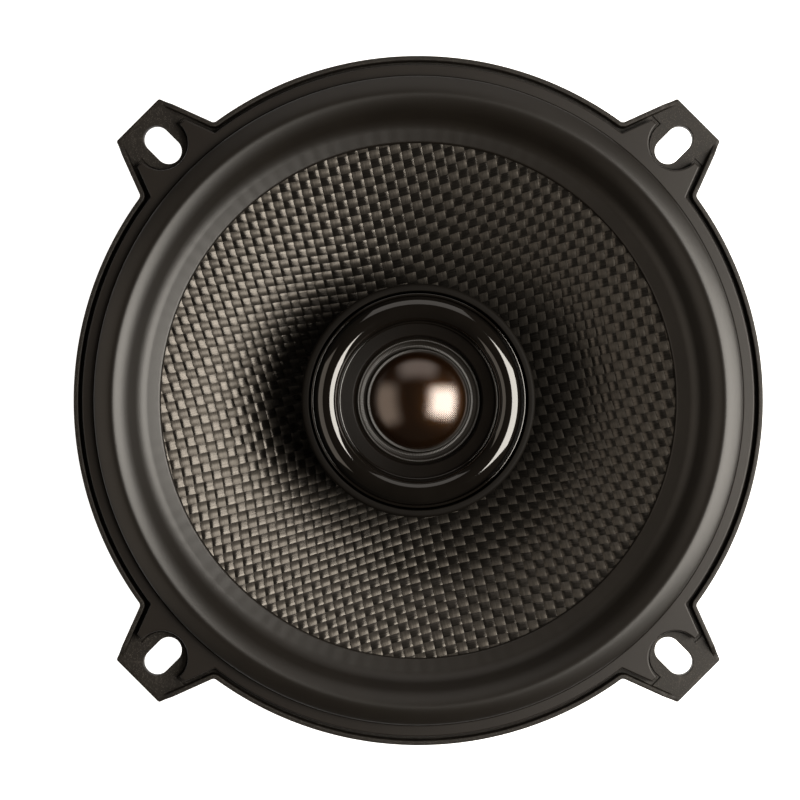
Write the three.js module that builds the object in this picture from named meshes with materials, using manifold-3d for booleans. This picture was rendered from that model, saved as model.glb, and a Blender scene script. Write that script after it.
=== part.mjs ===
// Coaxial car speaker of the 130 mm class: a four-eared cast basket, a woven cone on a rubber surround,
// a ferrite motor, and a soft dome tweeter carried on a hollow post through the pole.
// Millimetres. The speaker faces +Z and stands on its magnet: z = 0 is the back of the yoke.
import * as THREE from "three";
import { mergeVertices } from "three/addons/utils/BufferGeometryUtils.js";
import Module from "manifold-3d";

const wasm = await Module();
wasm.setup();

// ---- driving dimensions ----
const GAP = 0.3; // clearance between pieces that touch or are glued on the real speaker
const FINE = 48; // facets round the large rings
const MEDIUM = 36; // facets round the motor
const SMALL = 24; // facets round the tweeter and the voice coil
const TINY = 8; // facets round screws, rivets and their holes
const WIRE_SIDES = 6;

const FLANGE_R = 65;
const FLANGE_BACK = 56; // height of the face that seats on the panel
const FLANGE_FRONT = 58; // height of the ears' screw seats
const GASKET_SEAT = 57.7; // the shallow pocket that the gasket and the surround's rim lie in
const LIP_TOP = 59.4; // raised lip round the outline
const LIP_WIDTH = 0.6;
const THROAT_R = 57.2; // inside of the basket's rim wall
const CUTOUT_R = 58.8; // outside of the rim wall, which passes through the panel

const EAR_TIP = 75.1; // from the speaker's axis to the ear's end edge
const EAR_TIP_HALF = 5.7;
const EAR_FLARE = THREE.MathUtils.degToRad(20.7); // slope of an ear's side
const EAR_CORNER_R = 0.6;
const EAR_COUNT = 4;
const SLOT_AT = 68.4;
const SLOT_WIDTH = 4.9;
const SLOT_LENGTH = 8.2;

const GASKET_INSET = 1.7; // from the outline to the gasket's edge
const GASKET_TOP = 60.2;
const GASKET_INNER_R = 61.3;
const GASKET_TONGUE = 68.5; // how far the gasket runs out along an ear
const SCREW_CLEAR_R = 5; // the gasket keeps this far from a slot's centre
const SEAT_R = 4.7; // round part of an ear's screw seat
const SEAT_INSET = 1.3; // from the outline to the straight part of the seat
const SEAT_START = 68.8; // where the straight part begins
const SHELL_FLANGE_R = 62; // the turned shell runs this far into the flange
const PLATE_HOLE_R = 60; // the flat flange plate begins here

const ROLL_START_R = 51.5; // the roll rises from the glued flange here
const ROLL_CREST_R = 58.1;
const ROLL_CREST = 62.4;
const ROLL_OUTER_R = 60.8;
const ROLL_SHOULDER = 61.4; // from here the roll's outside drops past the gasket's edge
const RUBBER = 0.6;
const SURROUND_RIM_R = 62.8;
const SURROUND_RIM_TOP = 58.6;

const CONE_RIM_R = 52;
const CONE_SEEN_R = 48.8; // inner edge of the surround's glued flange
const CONE_NECK_R = 13.4;
const CONE_NECK_TOP = 37.1;
const CONE_NECK_SLOPE = 0.76; // rise for each millimetre outwards at the neck
const CONE_FLARE = 0.0059; // how fast the cone flattens towards its rim
const CONE_WALL = 0.9;

const POLE_R = 12;
const YOKE_R = 37.5;
const YOKE_PLATE = 5;
const MAGNET_R = 40;
const MAGNET_BORE_R = 18;
const MAGNET_TOP = 20.3;
const TOP_PLATE_BACK = MAGNET_TOP + GAP;
const TOP_PLATE_FRONT = 25.6;
const TOP_PLATE_BORE_R = 13.75;
const FORMER_R = 12.3; // inside of the voice-coil former
const WALL = 0.3; // former wall
const RECESS_R = 6.3;
const RECESS_TOP = 7.5;

const BASE_BACK = TOP_PLATE_FRONT + GAP;
const BASE_FRONT = 28.9;
const BASE_R = 40.5;
const LEDGE_TOP = 32.7; // landing of the spider
const SPIDER_R = 36.4;
const MOTOR_SCREW_AT = 27;
const MOTOR_SCREW_HOLE_R = 2.3;

const WINDOW_BOTTOM = 34;
const WINDOW_TOP = 50.5;
const WINDOW_BOTTOM_HALF = 23;
const WINDOW_TOP_HALF = 34;
const WINDOW_CORNER = 3;
const WINDOW_NEAR = 34; // a window's cutter runs from here outwards
const WINDOW_FAR = 70;

const BOARD_BACK = -42.4; // y of the terminal board's face towards the basket
const BOARD_FRONT = -44;
const BLADE_AT = 9;
const RIVET_Z = 39.5;
const BOARD_SCREW_AT = 12;
const BOARD_SCREW_Z = 31;
const BOARD_SCREW_HOLE_R = 1.5;
const BOSS_HALF = 2.8; // half the width of the two bosses that carry the board
const BOSS_ROOT = -36.5;
const RIVET_HOLE_R = 1.3;

const HOUSING_R = 22;
const HOUSING_BORE_R = 20.6;
const HOUSING_BACK = 47.5;
const HOUSING_FLOOR = 49.5;
const HOUSING_TOP = 61;
const BEZEL_R = 20.2;
const BEZEL_INNER_R = 15.1;
const DOME_R = 9.3;
const DOME_SPHERE_R = 13;
const DOME_BACK = 58.3;
const POST_BORE_R = 2.2;
const POST_TUBE_R = 3;

// ---- looks ----
const look = (color, roughness, metalness) => ({ color, roughness, metalness });
const POWDER_COAT = look(0x35322d, 0.62, 0.35);
const GASKET_RUBBER = look(0x423d36, 0.78, 0);
const ROLL_RUBBER = look(0x3a3631, 0.7, 0);
const WOVEN = look(0x3a3a38, 0.4, 0.1);
const SPIDER_CLOTH = look(0xb49a5a, 0.9, 0);
const FERRITE = look(0x2b2b2d, 0.6, 0.1);
const ZINC = look(0xb9bcc0, 0.35, 0.9);
const SCREW_STEEL = look(0x8d8f92, 0.35, 0.9);
const BRASS = look(0xc9a95a, 0.35, 0.9);
const TIN = look(0xc6c8cb, 0.35, 0.9);
const FIBRE_BOARD = look(0x2e2620, 0.8, 0);
const CAPACITOR_SLEEVE = look(0x20355c, 0.45, 0);
const WIRE_RED = look(0x8e1f1c, 0.5, 0);
const WIRE_BLACK = look(0x1c1c1c, 0.5, 0);
const BRAID = look(0xb9783f, 0.45, 0.7);
const COPPER = look(0xb06a35, 0.35, 0.8);
const POLYIMIDE = look(0x9a6526, 0.4, 0);
const MATTE_BLACK = look(0x171614, 0.7, 0);
const GLOSS_BLACK = look(0x0a0a0a, 0.08, 0);
const SATIN_BLACK = look(0x1b1917, 0.4, 0);
const DOME_CLOTH = look(0x4a2f20, 0.35, 0);
const NEODYMIUM = look(0xa8a9ab, 0.3, 0.9);

// ---- solids ----
// Turns a closed profile of [radius, height] points, anticlockwise with the radius to the right, about Z.
// A profile that starts and ends on the axis is left open there.
function turned(profile, sides) {
  const points = profile.map(([r, z]) => new THREE.Vector2(r, z));
  if (points[0].x > 0) points.push(points[0].clone());
  return new THREE.LatheGeometry(points, sides).rotateX(Math.PI / 2);
}

function ring(inner, outer, bottom, top, sides) {
  const profile = [
    [inner, bottom],
    [outer, bottom],
    [outer, top],
    [inner, top],
  ];
  return turned(profile, sides);
}

function rod(radius, bottom, top, sides) {
  const profile = [
    [0, bottom],
    [radius, bottom],
    [radius, top],
    [0, top],
  ];
  return turned(profile, sides);
}

// A flat outline of [x, y] points, with an optional hole, raised from one height to another.
function raised(outline, bottom, top, hole) {
  const shape = new THREE.Shape(outline.map(([x, y]) => new THREE.Vector2(x, y)));
  if (hole) shape.holes.push(new THREE.Path(hole.map(([x, y]) => new THREE.Vector2(x, y))));
  const geometry = new THREE.ExtrudeGeometry(shape, { depth: top - bottom, bevelEnabled: false });
  return geometry.translate(0, 0, bottom);
}

function block(x0, x1, y0, y1, z0, z1) {
  const geometry = new THREE.BoxGeometry(x1 - x0, y1 - y0, z1 - z0);
  return geometry.translate((x0 + x1) / 2, (y0 + y1) / 2, (z0 + z1) / 2);
}

// A round wire along a smooth curve through the given points.
function wire(points, radius, steps) {
  const path = new THREE.CatmullRomCurve3(points.map((p) => new THREE.Vector3(...p)), false, "centripetal");
  const section = new THREE.Shape(circle(0, 0, radius, WIRE_SIDES).map(([x, y]) => new THREE.Vector2(x, y)));
  return new THREE.ExtrudeGeometry(section, { steps, extrudePath: path });
}

// Points on an arc, both ends included.
function arc(x, y, radius, from, to, steps) {
  const point = (k) => {
    const angle = from + ((to - from) * k) / steps;
    return [x + radius * Math.cos(angle), y + radius * Math.sin(angle)];
  };
  return Array.from({ length: steps + 1 }, (_, k) => point(k));
}

// Points on a cubic curve between two ends, drawn towards two others.
function bend(start, pullStart, pullEnd, end, steps) {
  const ends = [start, pullStart, pullEnd, end].map(([x, y]) => new THREE.Vector2(x, y));
  return new THREE.CubicBezierCurve(...ends).getPoints(steps).map((p) => [p.x, p.y]);
}

function circle(x, y, radius, sides) {
  return arc(x, y, radius, -Math.PI / 2, 1.5 * Math.PI, sides).slice(0, sides);
}

function turnPoints(points, angle) {
  const c = Math.cos(angle);
  const s = Math.sin(angle);
  return points.map(([x, y]) => [x * c - y * s, x * s + y * c]);
}

// Carries an outline's plane to the YZ plane and its height to the direction of +X.
const OUTWARDS = new THREE.Matrix4().set(0, 0, 1, 0, 1, 0, 0, 0, 0, 1, 0, 0, 0, 0, 0, 1);

function solidOf(geometry) {
  const bare = geometry.clone();
  bare.deleteAttribute("normal");
  bare.deleteAttribute("uv");
  const merged = mergeVertices(bare, 1e-4);
  const mesh = new wasm.Mesh({
    numProp: 3,
    vertProperties: Float32Array.from(merged.attributes.position.array),
    triVerts: Uint32Array.from(merged.index.array),
  });
  return new wasm.Manifold(mesh);
}

function geometryOf(solid) {
  const mesh = solid.getMesh();
  const geometry = new THREE.BufferGeometry();
  geometry.setAttribute("position", new THREE.BufferAttribute(mesh.vertProperties, 3));
  geometry.setIndex(new THREE.BufferAttribute(mesh.triVerts, 1));
  const faceted = geometry.toNonIndexed();
  faceted.computeVertexNormals();
  return faceted;
}

// Joins the first list of geometries, then cuts the second list away.
function carved(joined, cuts) {
  let solid = joined.map(solidOf).reduce((a, b) => a.add(b));
  for (const cut of cuts) solid = solid.subtract(solidOf(cut));
  return geometryOf(solid);
}

// ---- scene graph: one group for each rigid body ----
const speaker = new THREE.Group();
const frame = new THREE.Group();
const coneBody = new THREE.Group();
const domeBody = new THREE.Group();
speaker.add(frame, coneBody, domeBody);

function part(body, name, geometry, { color, roughness, metalness }) {
  const material = new THREE.MeshStandardMaterial({ color, roughness, metalness });
  const mesh = new THREE.Mesh(geometry, material);
  mesh.name = name;
  body.add(mesh);
  return mesh;
}

// ---- basket ----
const earAngles = Array.from({ length: EAR_COUNT }, (_, k) => (Math.PI * (2 * k + 1)) / EAR_COUNT);

// One ear and the arc that follows it, with its axis along +X: sides flare from the tip to the circle.
function earOutline(inset, tip) {
  const normal = [Math.sin(EAR_FLARE), Math.cos(EAR_FLARE)];
  const reach = normal[0] * EAR_TIP + normal[1] * EAR_TIP_HALF - inset;
  const radius = FLANGE_R - inset;
  const along = Math.sqrt(radius * radius - reach * reach);
  const root = [normal[0] * reach + normal[1] * along, normal[1] * reach - normal[0] * along];
  const rootAngle = Math.atan2(root[1], root[0]);
  const half = (reach - normal[0] * tip) / normal[1];
  const corner = [tip - EAR_CORNER_R, half - EAR_CORNER_R * Math.tan(Math.PI / 4 - EAR_FLARE / 2)];
  const upper = arc(corner[0], corner[1], EAR_CORNER_R, 0, Math.PI / 2 - EAR_FLARE, 3);
  const lower = upper.map(([x, y]) => [x, -y]).reverse();
  const between = arc(0, 0, radius, rootAngle, (2 * Math.PI) / EAR_COUNT - rootAngle, 14);
  return [...lower, ...upper, ...between];
}

function flangeOutline(inset, tip) {
  return earAngles.flatMap((angle) => turnPoints(earOutline(inset, tip), angle));
}

function slotOutline(angle) {
  const half = SLOT_WIDTH / 2;
  const straight = SLOT_LENGTH / 2 - half;
  const outer = arc(SLOT_AT + straight, 0, half, -Math.PI / 2, Math.PI / 2, 8);
  const inner = arc(SLOT_AT - straight, 0, half, Math.PI / 2, 1.5 * Math.PI, 8);
  return turnPoints([...outer, ...inner], angle);
}

function basketShell() {
  const profile = [
    [19, BASE_BACK],
    [38.5, BASE_BACK],
    [BASE_R, 27.9],
    [BASE_R, 34],
    [47, 39.5],
    [54.5, 46],
    [CUTOUT_R, 51],
    [CUTOUT_R, FLANGE_BACK],
    [SHELL_FLANGE_R, FLANGE_BACK],
    [SHELL_FLANGE_R, GASKET_SEAT],
    [THROAT_R, GASKET_SEAT],
    [THROAT_R, 51.6],
    [53.2, 47],
    [45.8, 40.8],
    [38.9, 35],
    [SPIDER_R + 0.4, 34.9],
    [SPIDER_R + 0.4, LEDGE_TOP],
    [33, LEDGE_TOP],
    [33, 31.4],
    [37.2, 31.4],
    [37.2, BASE_FRONT],
    [19, BASE_FRONT],
  ];
  return turned(profile, FINE);
}

// A window between two spokes, wider at the top, cut outwards from the motor's side.
function windowCutter(angle) {
  const half = [
    [WINDOW_BOTTOM_HALF - WINDOW_CORNER, WINDOW_BOTTOM],
    [WINDOW_BOTTOM_HALF, WINDOW_BOTTOM + WINDOW_CORNER],
    [WINDOW_TOP_HALF, WINDOW_TOP - WINDOW_CORNER],
    [WINDOW_TOP_HALF - WINDOW_CORNER, WINDOW_TOP],
  ];
  const mirrored = half.map(([y, z]) => [-y, z]).reverse();
  return raised([...half, ...mirrored], WINDOW_NEAR, WINDOW_FAR).applyMatrix4(OUTWARDS).rotateZ(angle);
}

const motorScrewPlaces = earAngles.map((angle) => [
  MOTOR_SCREW_AT * Math.cos(angle),
  MOTOR_SCREW_AT * Math.sin(angle),
]);

// Half the width of an ear at a distance from the speaker's axis, less an inset from its side.
function earHalf(distance, inset) {
  return EAR_TIP_HALF + Math.tan(EAR_FLARE) * (EAR_TIP - distance) - inset / Math.cos(EAR_FLARE);
}

// The flat that a screw head bears on: a disc round the slot, and the ear from there to its tip.
function screwSeat(angle) {
  const beyondTip = EAR_TIP + 4;
  const wedge = [
    [SEAT_START, -earHalf(SEAT_START, SEAT_INSET)],
    [beyondTip, -earHalf(beyondTip, SEAT_INSET)],
    [beyondTip, earHalf(beyondTip, SEAT_INSET)],
    [SEAT_START, earHalf(SEAT_START, SEAT_INSET)],
  ];
  const upToSeat = (outline) => raised(turnPoints(outline, angle), GASKET_SEAT - 1, FLANGE_FRONT);
  return carved([upToSeat(wedge), upToSeat(circle(SLOT_AT, 0, SEAT_R, SMALL))], []);
}

function basket() {
  const plate = raised(flangeOutline(0, EAR_TIP), FLANGE_BACK, LIP_TOP, circle(0, 0, PLATE_HOLE_R, FINE));
  const insideLip = raised(flangeOutline(LIP_WIDTH, EAR_TIP + 3), GASKET_SEAT, LIP_TOP + 1);
  const pocket = carved([insideLip], earAngles.map((angle) => screwSeat(angle)));
  const slots = earAngles.map((angle) => raised(slotOutline(angle), FLANGE_BACK - 1, LIP_TOP + 1));
  const windows = [0, 1, 2, 3].map((k) => windowCutter((k * Math.PI) / 2));
  const screwHoles = motorScrewPlaces.map(([x, y]) =>
    rod(MOTOR_SCREW_HOLE_R, BASE_BACK - 1, BASE_FRONT + 1, TINY).translate(x, y, 0),
  );
  const bosses = [-1, 1].map((side) => {
    const left = side * BOARD_SCREW_AT - BOSS_HALF;
    const right = left + 2 * BOSS_HALF;
    return block(left, right, BOARD_BACK + GAP, BOSS_ROOT, BASE_FRONT - 1, WINDOW_BOTTOM);
  });
  const bossHoles = [-1, 1].map((side) => boardScrewRod(side, BOARD_SCREW_HOLE_R, 37.5, 43));
  const cuts = [pocket, ...slots, ...windows, ...screwHoles, ...bossHoles];
  return carved([basketShell(), plate, ...bosses], cuts);
}

// A rod pointing along -Y at the height of the terminal board's screws; depths are distances from the axis.
function boardScrewRod(side, radius, from, to) {
  return rod(radius, from, to, TINY).rotateX(Math.PI / 2).translate(side * BOARD_SCREW_AT, 0, BOARD_SCREW_Z);
}

part(frame, "basket", basket(), POWDER_COAT);

function gasket() {
  const sheet = raised(flangeOutline(GASKET_INSET, GASKET_TONGUE), GASKET_SEAT + GAP, GASKET_TOP);
  const opening = rod(GASKET_INNER_R, GASKET_SEAT, GASKET_TOP + 1, FINE);
  const pocket = rod(SURROUND_RIM_R + GAP, GASKET_SEAT, SURROUND_RIM_TOP + GAP, FINE);
  const aroundSlots = earAngles.map((angle) => {
    const place = turnPoints([[SLOT_AT, 0]], angle)[0];
    return raised(circle(place[0], place[1], SCREW_CLEAR_R, SMALL), GASKET_SEAT, GASKET_TOP + 1);
  });
  return carved([sheet], [opening, pocket, ...aroundSlots]);
}

part(frame, "front_gasket", gasket(), GASKET_RUBBER);

// ---- cone and its suspension ----
const coneFront = (r) => CONE_NECK_TOP + (r - CONE_NECK_R) * (CONE_NECK_SLOPE - CONE_FLARE * (r - CONE_NECK_R));

// How far each end of the roll's curves holds its own direction.
const ROLL_PULL_CONE = 1.2;
const ROLL_PULL_IN = 3.4;
const ROLL_PULL_OUT = 1.3;
const ROLL_START_SLOPE = 0.4;

function surround() {
  const base = SURROUND_RIM_TOP;
  const lap = (r) => coneFront(r) + GAP;
  // The roll's surface at a depth in the rubber: a steep rise from the cone, then a flatter fall.
  const rollAt = (depth) => {
    const start = [ROLL_START_R, lap(ROLL_START_R) + RUBBER - depth];
    const crest = [ROLL_CREST_R, ROLL_CREST - depth];
    const end = [ROLL_OUTER_R - depth, ROLL_SHOULDER - depth];
    const upCone = [start[0] + ROLL_PULL_CONE, start[1] + ROLL_PULL_CONE * ROLL_START_SLOPE];
    const rise = bend(start, upCone, [crest[0] - ROLL_PULL_IN, crest[1]], crest, 4);
    const fall = bend(crest, [crest[0] + ROLL_PULL_OUT, crest[1]], [end[0] - 0.5, end[1] + 0.4], end, 3);
    return [...rise, ...fall.slice(1)];
  };
  const profile = [
    [SURROUND_RIM_R, base - RUBBER],
    [SURROUND_RIM_R, base],
    [ROLL_OUTER_R, base],
    ...rollAt(0).reverse(),
    [CONE_SEEN_R, lap(CONE_SEEN_R) + RUBBER],
    [CONE_SEEN_R, lap(CONE_SEEN_R)],
    ...rollAt(RUBBER),
    [ROLL_OUTER_R - RUBBER, base - RUBBER],
  ];
  return turned(profile, MEDIUM);
}

part(frame, "surround", surround(), ROLL_RUBBER);

const coneStations = [CONE_NECK_R, 22, 31, 41];
const coneProfile = [
  ...coneStations.slice(1).map((r) => [r, coneFront(r) - CONE_WALL]),
  [CONE_RIM_R, coneFront(CONE_RIM_R) - CONE_WALL],
  [CONE_RIM_R, coneFront(CONE_RIM_R)],
  ...coneStations.map((r) => [r, coneFront(r)]).reverse(),
  [CONE_NECK_R - 0.5, coneFront(CONE_NECK_R - 0.5)],
  [CONE_NECK_R - 0.5, CONE_NECK_TOP - 2.2],
  [CONE_NECK_R, CONE_NECK_TOP - 2.2],
  [CONE_NECK_R, CONE_NECK_TOP - CONE_WALL],
];
part(coneBody, "cone", turned(coneProfile, FINE), WOVEN);

const FORMER_BOTTOM = 16.5;
const formerOuter = FORMER_R + WALL;
const windingInner = formerOuter + GAP;
part(coneBody, "voice_coil_former", ring(FORMER_R, formerOuter, FORMER_BOTTOM, 37.5, SMALL), POLYIMIDE);
part(coneBody, "voice_coil_winding", ring(windingInner, windingInner + 0.45, 17, 29.2, SMALL), COPPER);

// Concentric corrugations between a flat landing on the basket's ledge and a short neck on the former.
function spider() {
  const corrugations = 4;
  const pitch = 4.2;
  const waveHeight = 1.3;
  const waveStart = 32.4;
  const thickness = 0.5;
  const neckInner = 13;
  const neckOuter = 13.6;
  const neckHeight = 1.2;
  const base = LEDGE_TOP + GAP;
  const wave = Array.from({ length: 2 * corrugations + 1 }, (_, k) => [
    waveStart - (k * pitch) / 2,
    base + (k % 2 ? waveHeight : 0),
  ]);
  const profile = [
    [SPIDER_R, base],
    [SPIDER_R, base + thickness],
    ...wave.map(([r, z]) => [r, z + thickness]),
    [neckOuter, base + thickness],
    [neckOuter, base + neckHeight],
    [neckInner, base + neckHeight],
    [neckInner, base],
    ...wave.reverse(),
  ];
  return turned(profile, SMALL);
}

part(frame, "spider", spider(), SPIDER_CLOTH);

const SIDES = { positive: 1, negative: -1 };
const TINSEL_R = 0.8;
for (const [sign, side] of Object.entries(SIDES)) {
  const route = [
    [4, -14.4, 35.6],
    [6, -22, 36.8],
    [8, -31, 39.2],
    [BLADE_AT, -37.5, 40.4],
    [BLADE_AT, -40.7, RIVET_Z + 0.5],
  ];
  const lead = wire(route.map(([x, y, z]) => [side * x, y, z]), TINSEL_R, 14);
  part(frame, `tinsel_lead_${sign}`, lead, BRAID);
}

// ---- motor ----
function yoke() {
  const body = turned(
    [
      [0, 0],
      [YOKE_R - 0.8, 0],
      [YOKE_R, 0.8],
      [YOKE_R, YOKE_PLATE],
      [POLE_R, YOKE_PLATE],
      [POLE_R, TOP_PLATE_FRONT - 0.5],
      [POLE_R - 0.5, TOP_PLATE_FRONT],
      [0, TOP_PLATE_FRONT],
    ],
    MEDIUM,
  );
  const bore = rod(POST_TUBE_R + GAP, -1, TOP_PLATE_FRONT + 1, SMALL);
  const recess = rod(RECESS_R, -1, RECESS_TOP, SMALL);
  const leadGroove = block(-1.7, 1.7, -YOKE_R - 1, 0, -1, 2.6);
  return carved([body], [bore, recess, leadGroove]);
}

part(frame, "yoke", yoke(), ZINC);
part(frame, "magnet_ring", ring(MAGNET_BORE_R, MAGNET_R, YOKE_PLATE + GAP, MAGNET_TOP, MEDIUM), FERRITE);

function topPlate() {
  const plate = ring(TOP_PLATE_BORE_R, YOKE_R, TOP_PLATE_BACK, TOP_PLATE_FRONT, MEDIUM);
  const holes = motorScrewPlaces.map(([x, y]) =>
    rod(MOTOR_SCREW_HOLE_R, TOP_PLATE_BACK - 1, TOP_PLATE_FRONT + 1, TINY).translate(x, y, 0),
  );
  return carved([plate], holes);
}

part(frame, "top_plate", topPlate(), ZINC);

motorScrewPlaces.forEach(([x, y], k) => {
  const profile = [
    [0, TOP_PLATE_BACK + 1],
    [1.95, TOP_PLATE_BACK + 1],
    [1.95, BASE_FRONT + GAP],
    [3.4, BASE_FRONT + GAP],
    [3.4, 30.4],
    [2.6, 31],
    [0, 31],
  ];
  part(frame, `motor_screw_${k + 1}`, turned(profile, TINY).translate(x, y, 0), SCREW_STEEL);
});

// ---- terminals and crossover ----
function terminalBoard() {
  const board = block(-15, 15, BOARD_FRONT, BOARD_BACK, 28.5, 46.3);
  const screwHoles = [-1, 1].map((side) => boardScrewRod(side, BOARD_SCREW_HOLE_R, 42, 45));
  const rivetHoles = [-1, 1].map((side) => rivetRod(side, RIVET_HOLE_R, 42, 45));
  return carved([board], [...screwHoles, ...rivetHoles]);
}

function rivetRod(side, radius, from, to) {
  return rod(radius, from, to, TINY).rotateX(Math.PI / 2).translate(side * BLADE_AT, 0, RIVET_Z);
}

part(frame, "terminal_board", terminalBoard(), FIBRE_BOARD);

// A tab of two standard widths on a riveted foot: 4.8 mm for the positive side and 2.8 mm for the
// negative one.
const BLADE_WIDTHS = { positive: 4.8, negative: 2.8 };
const FOOT_WIDTH = 4.8;
const BLADE_THICKNESS = 0.8;
const FOOT_BACK = BOARD_FRONT - GAP;
const BLADE_END = -55;
const BLADE_BOTTOM = 34.5;
const BLADE_TOP = BLADE_BOTTOM + BLADE_THICKNESS;
const FOOT_TOP = 42;
for (const [sign, side] of Object.entries(SIDES)) {
  const middle = side * BLADE_AT;
  const strip = (width, back, top) =>
    block(middle - width / 2, middle + width / 2, back, FOOT_BACK, BLADE_BOTTOM, top);
  const foot = strip(FOOT_WIDTH, FOOT_BACK - BLADE_THICKNESS, FOOT_TOP);
  const tab = strip(BLADE_WIDTHS[sign], BLADE_END, BLADE_TOP);
  part(frame, `terminal_blade_${sign}`, carved([foot, tab], [rivetRod(side, RIVET_HOLE_R, 44, 46)]), TIN);

  const rivet = turned(
    [
      [0, 41.2],
      [2, 41.2],
      [2, 42.1],
      [0.95, 42.1],
      [0.95, 45.4],
      [2, 45.4],
      [1.5, 46.2],
      [0, 46.2],
    ],
    TINY,
  );
  part(frame, `terminal_rivet_${sign}`, rivet.rotateX(Math.PI / 2).translate(middle, 0, RIVET_Z), BRASS);

  const screw = turned(
    [
      [0, 38.2],
      [1.15, 38.2],
      [1.15, 44.3],
      [2.2, 44.3],
      [2.2, 45.2],
      [1.6, 45.8],
      [0, 45.8],
    ],
    TINY,
  );
  const screwName = side > 0 ? "board_screw_right" : "board_screw_left";
  const screwAt = [side * BOARD_SCREW_AT, 0, BOARD_SCREW_Z];
  part(frame, screwName, screw.rotateX(Math.PI / 2).translate(...screwAt), SCREW_STEEL);
}

const CAPACITOR_Y = -48.6;
const CAPACITOR_R = 4;
const CAPACITOR_EDGE = 0.5;
const capacitorProfile = [
  [0, 31.5],
  [CAPACITOR_R - CAPACITOR_EDGE, 31.5],
  [CAPACITOR_R, 31.5 + CAPACITOR_EDGE],
  [CAPACITOR_R, 44 - CAPACITOR_EDGE],
  [CAPACITOR_R - CAPACITOR_EDGE, 44],
  [0, 44],
];
const capacitor = turned(capacitorProfile, SMALL).translate(0, CAPACITOR_Y, 0);
part(frame, "crossover_capacitor", capacitor, CAPACITOR_SLEEVE);
const capacitorLeads = {
  capacitor_lead_top: [44.3, 45.4],
  capacitor_lead_bottom: [31.2, 30.1],
};
for (const [name, [near, far]] of Object.entries(capacitorLeads)) {
  const route = [
    [0, CAPACITOR_Y, near],
    [0, CAPACITOR_Y + 0.2, (near + 2 * far) / 3],
    [0, CAPACITOR_Y + 1.4, far],
    [0, BOARD_FRONT - 0.4, far],
  ];
  part(frame, name, wire(route, 0.4, 10), TIN);
}

// ---- tweeter post: a hollow rod through the pole, held by a nut in the yoke's recess ----
const POST_BACK = 3.4;
const POST_FLANGE_R = 12;
const postProfile = [
  [POST_BORE_R, POST_BACK],
  [POST_TUBE_R, POST_BACK],
  [POST_TUBE_R, BASE_BACK],
  [9, BASE_BACK],
  [9, 27.4],
  [6, 29],
  [6, 43.4],
  [POST_FLANGE_R, 45.2],
  [POST_FLANGE_R, HOUSING_BACK - GAP],
  [POST_TUBE_R, HOUSING_BACK - GAP],
  [POST_TUBE_R, HOUSING_FLOOR],
  [POST_BORE_R, HOUSING_FLOOR],
];
part(frame, "tweeter_post", turned(postProfile, SMALL), MATTE_BLACK);
const WASHER_R = 5.6;
const NUT_CORNER_R = 5.2;
const clearOfPost = POST_TUBE_R + GAP;
part(frame, "post_washer", ring(clearOfPost, WASHER_R, RECESS_TOP - 0.9, RECESS_TOP - GAP, SMALL), ZINC);
const nut = raised(circle(0, 0, NUT_CORNER_R, 6), 3.9, 6.3, circle(0, 0, clearOfPost, SMALL));
part(frame, "post_nut", nut, ZINC);

const LEAD_SPACING = 0.85;
const LEAD_R = 0.5;
for (const [sign, side] of Object.entries(SIDES)) {
  const inBore = side * LEAD_SPACING;
  const route = [
    [side * 15.6, 0, 56.4],
    [side * 15.6, 0, 52.4],
    [side * 14, 0, 50.2],
    [side * 8, 0, 50.25],
    [side * 2.6, 0, 50.25],
    [side * 1.3, 0, 49.6],
    [inBore, 0, 47.6],
    [inBore, 0, 30],
    [inBore, 0, 6],
    [inBore, -0.7, 3],
    [inBore, -3.2, 1.45],
    [inBore, -20, 1.4],
    [inBore, -36.5, 1.4],
    [inBore, -40.2, 2.4],
    [inBore, -41.45, 5.6],
    [inBore, -41.45, 22],
    [inBore, -41.45, 38.4],
  ];
  part(frame, `tweeter_lead_${sign}`, wire(route, LEAD_R, 64), side > 0 ? WIRE_RED : WIRE_BLACK);
}

// ---- tweeter ----
const housingProfile = [
  [clearOfPost, HOUSING_BACK],
  [19.5, HOUSING_BACK],
  [21.5, 49.2],
  [HOUSING_R, 51],
  [HOUSING_R, HOUSING_TOP - 1.2],
  [21.2, HOUSING_TOP],
  [HOUSING_BORE_R, HOUSING_TOP],
  [HOUSING_BORE_R, HOUSING_FLOOR],
  [clearOfPost, HOUSING_FLOOR],
];
part(frame, "tweeter_housing", turned(housingProfile, MEDIUM), MATTE_BLACK);

// Polished ring: a rounded crest, a narrow groove outside it and a thin rim at the foot.
const bezelProfile = [
  [BEZEL_INNER_R, 58],
  [BEZEL_R, 58],
  [BEZEL_R, 61.2],
  [19.7, 61.2],
  [19.6, 60.7],
  [19.1, 60.7],
  [19, 61.9],
  [18.1, 62.5],
  [16.9, 62.75],
  [16.1, 62.6],
  [15.5, 62.2],
  [BEZEL_INNER_R, 61.5],
];
part(frame, "tweeter_bezel", turned(bezelProfile, MEDIUM), GLOSS_BLACK);

const faceRingProfile = [
  [11.9, 58.7],
  [BEZEL_INNER_R - GAP, 58.7],
  [BEZEL_INNER_R - GAP, 60.3],
  [14.5, 60.3],
  [14.3, 60],
  [12.2, 59.6],
  [11.9, 59.3],
];
part(frame, "tweeter_face_ring", turned(faceRingProfile, MEDIUM), SATIN_BLACK);

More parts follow.
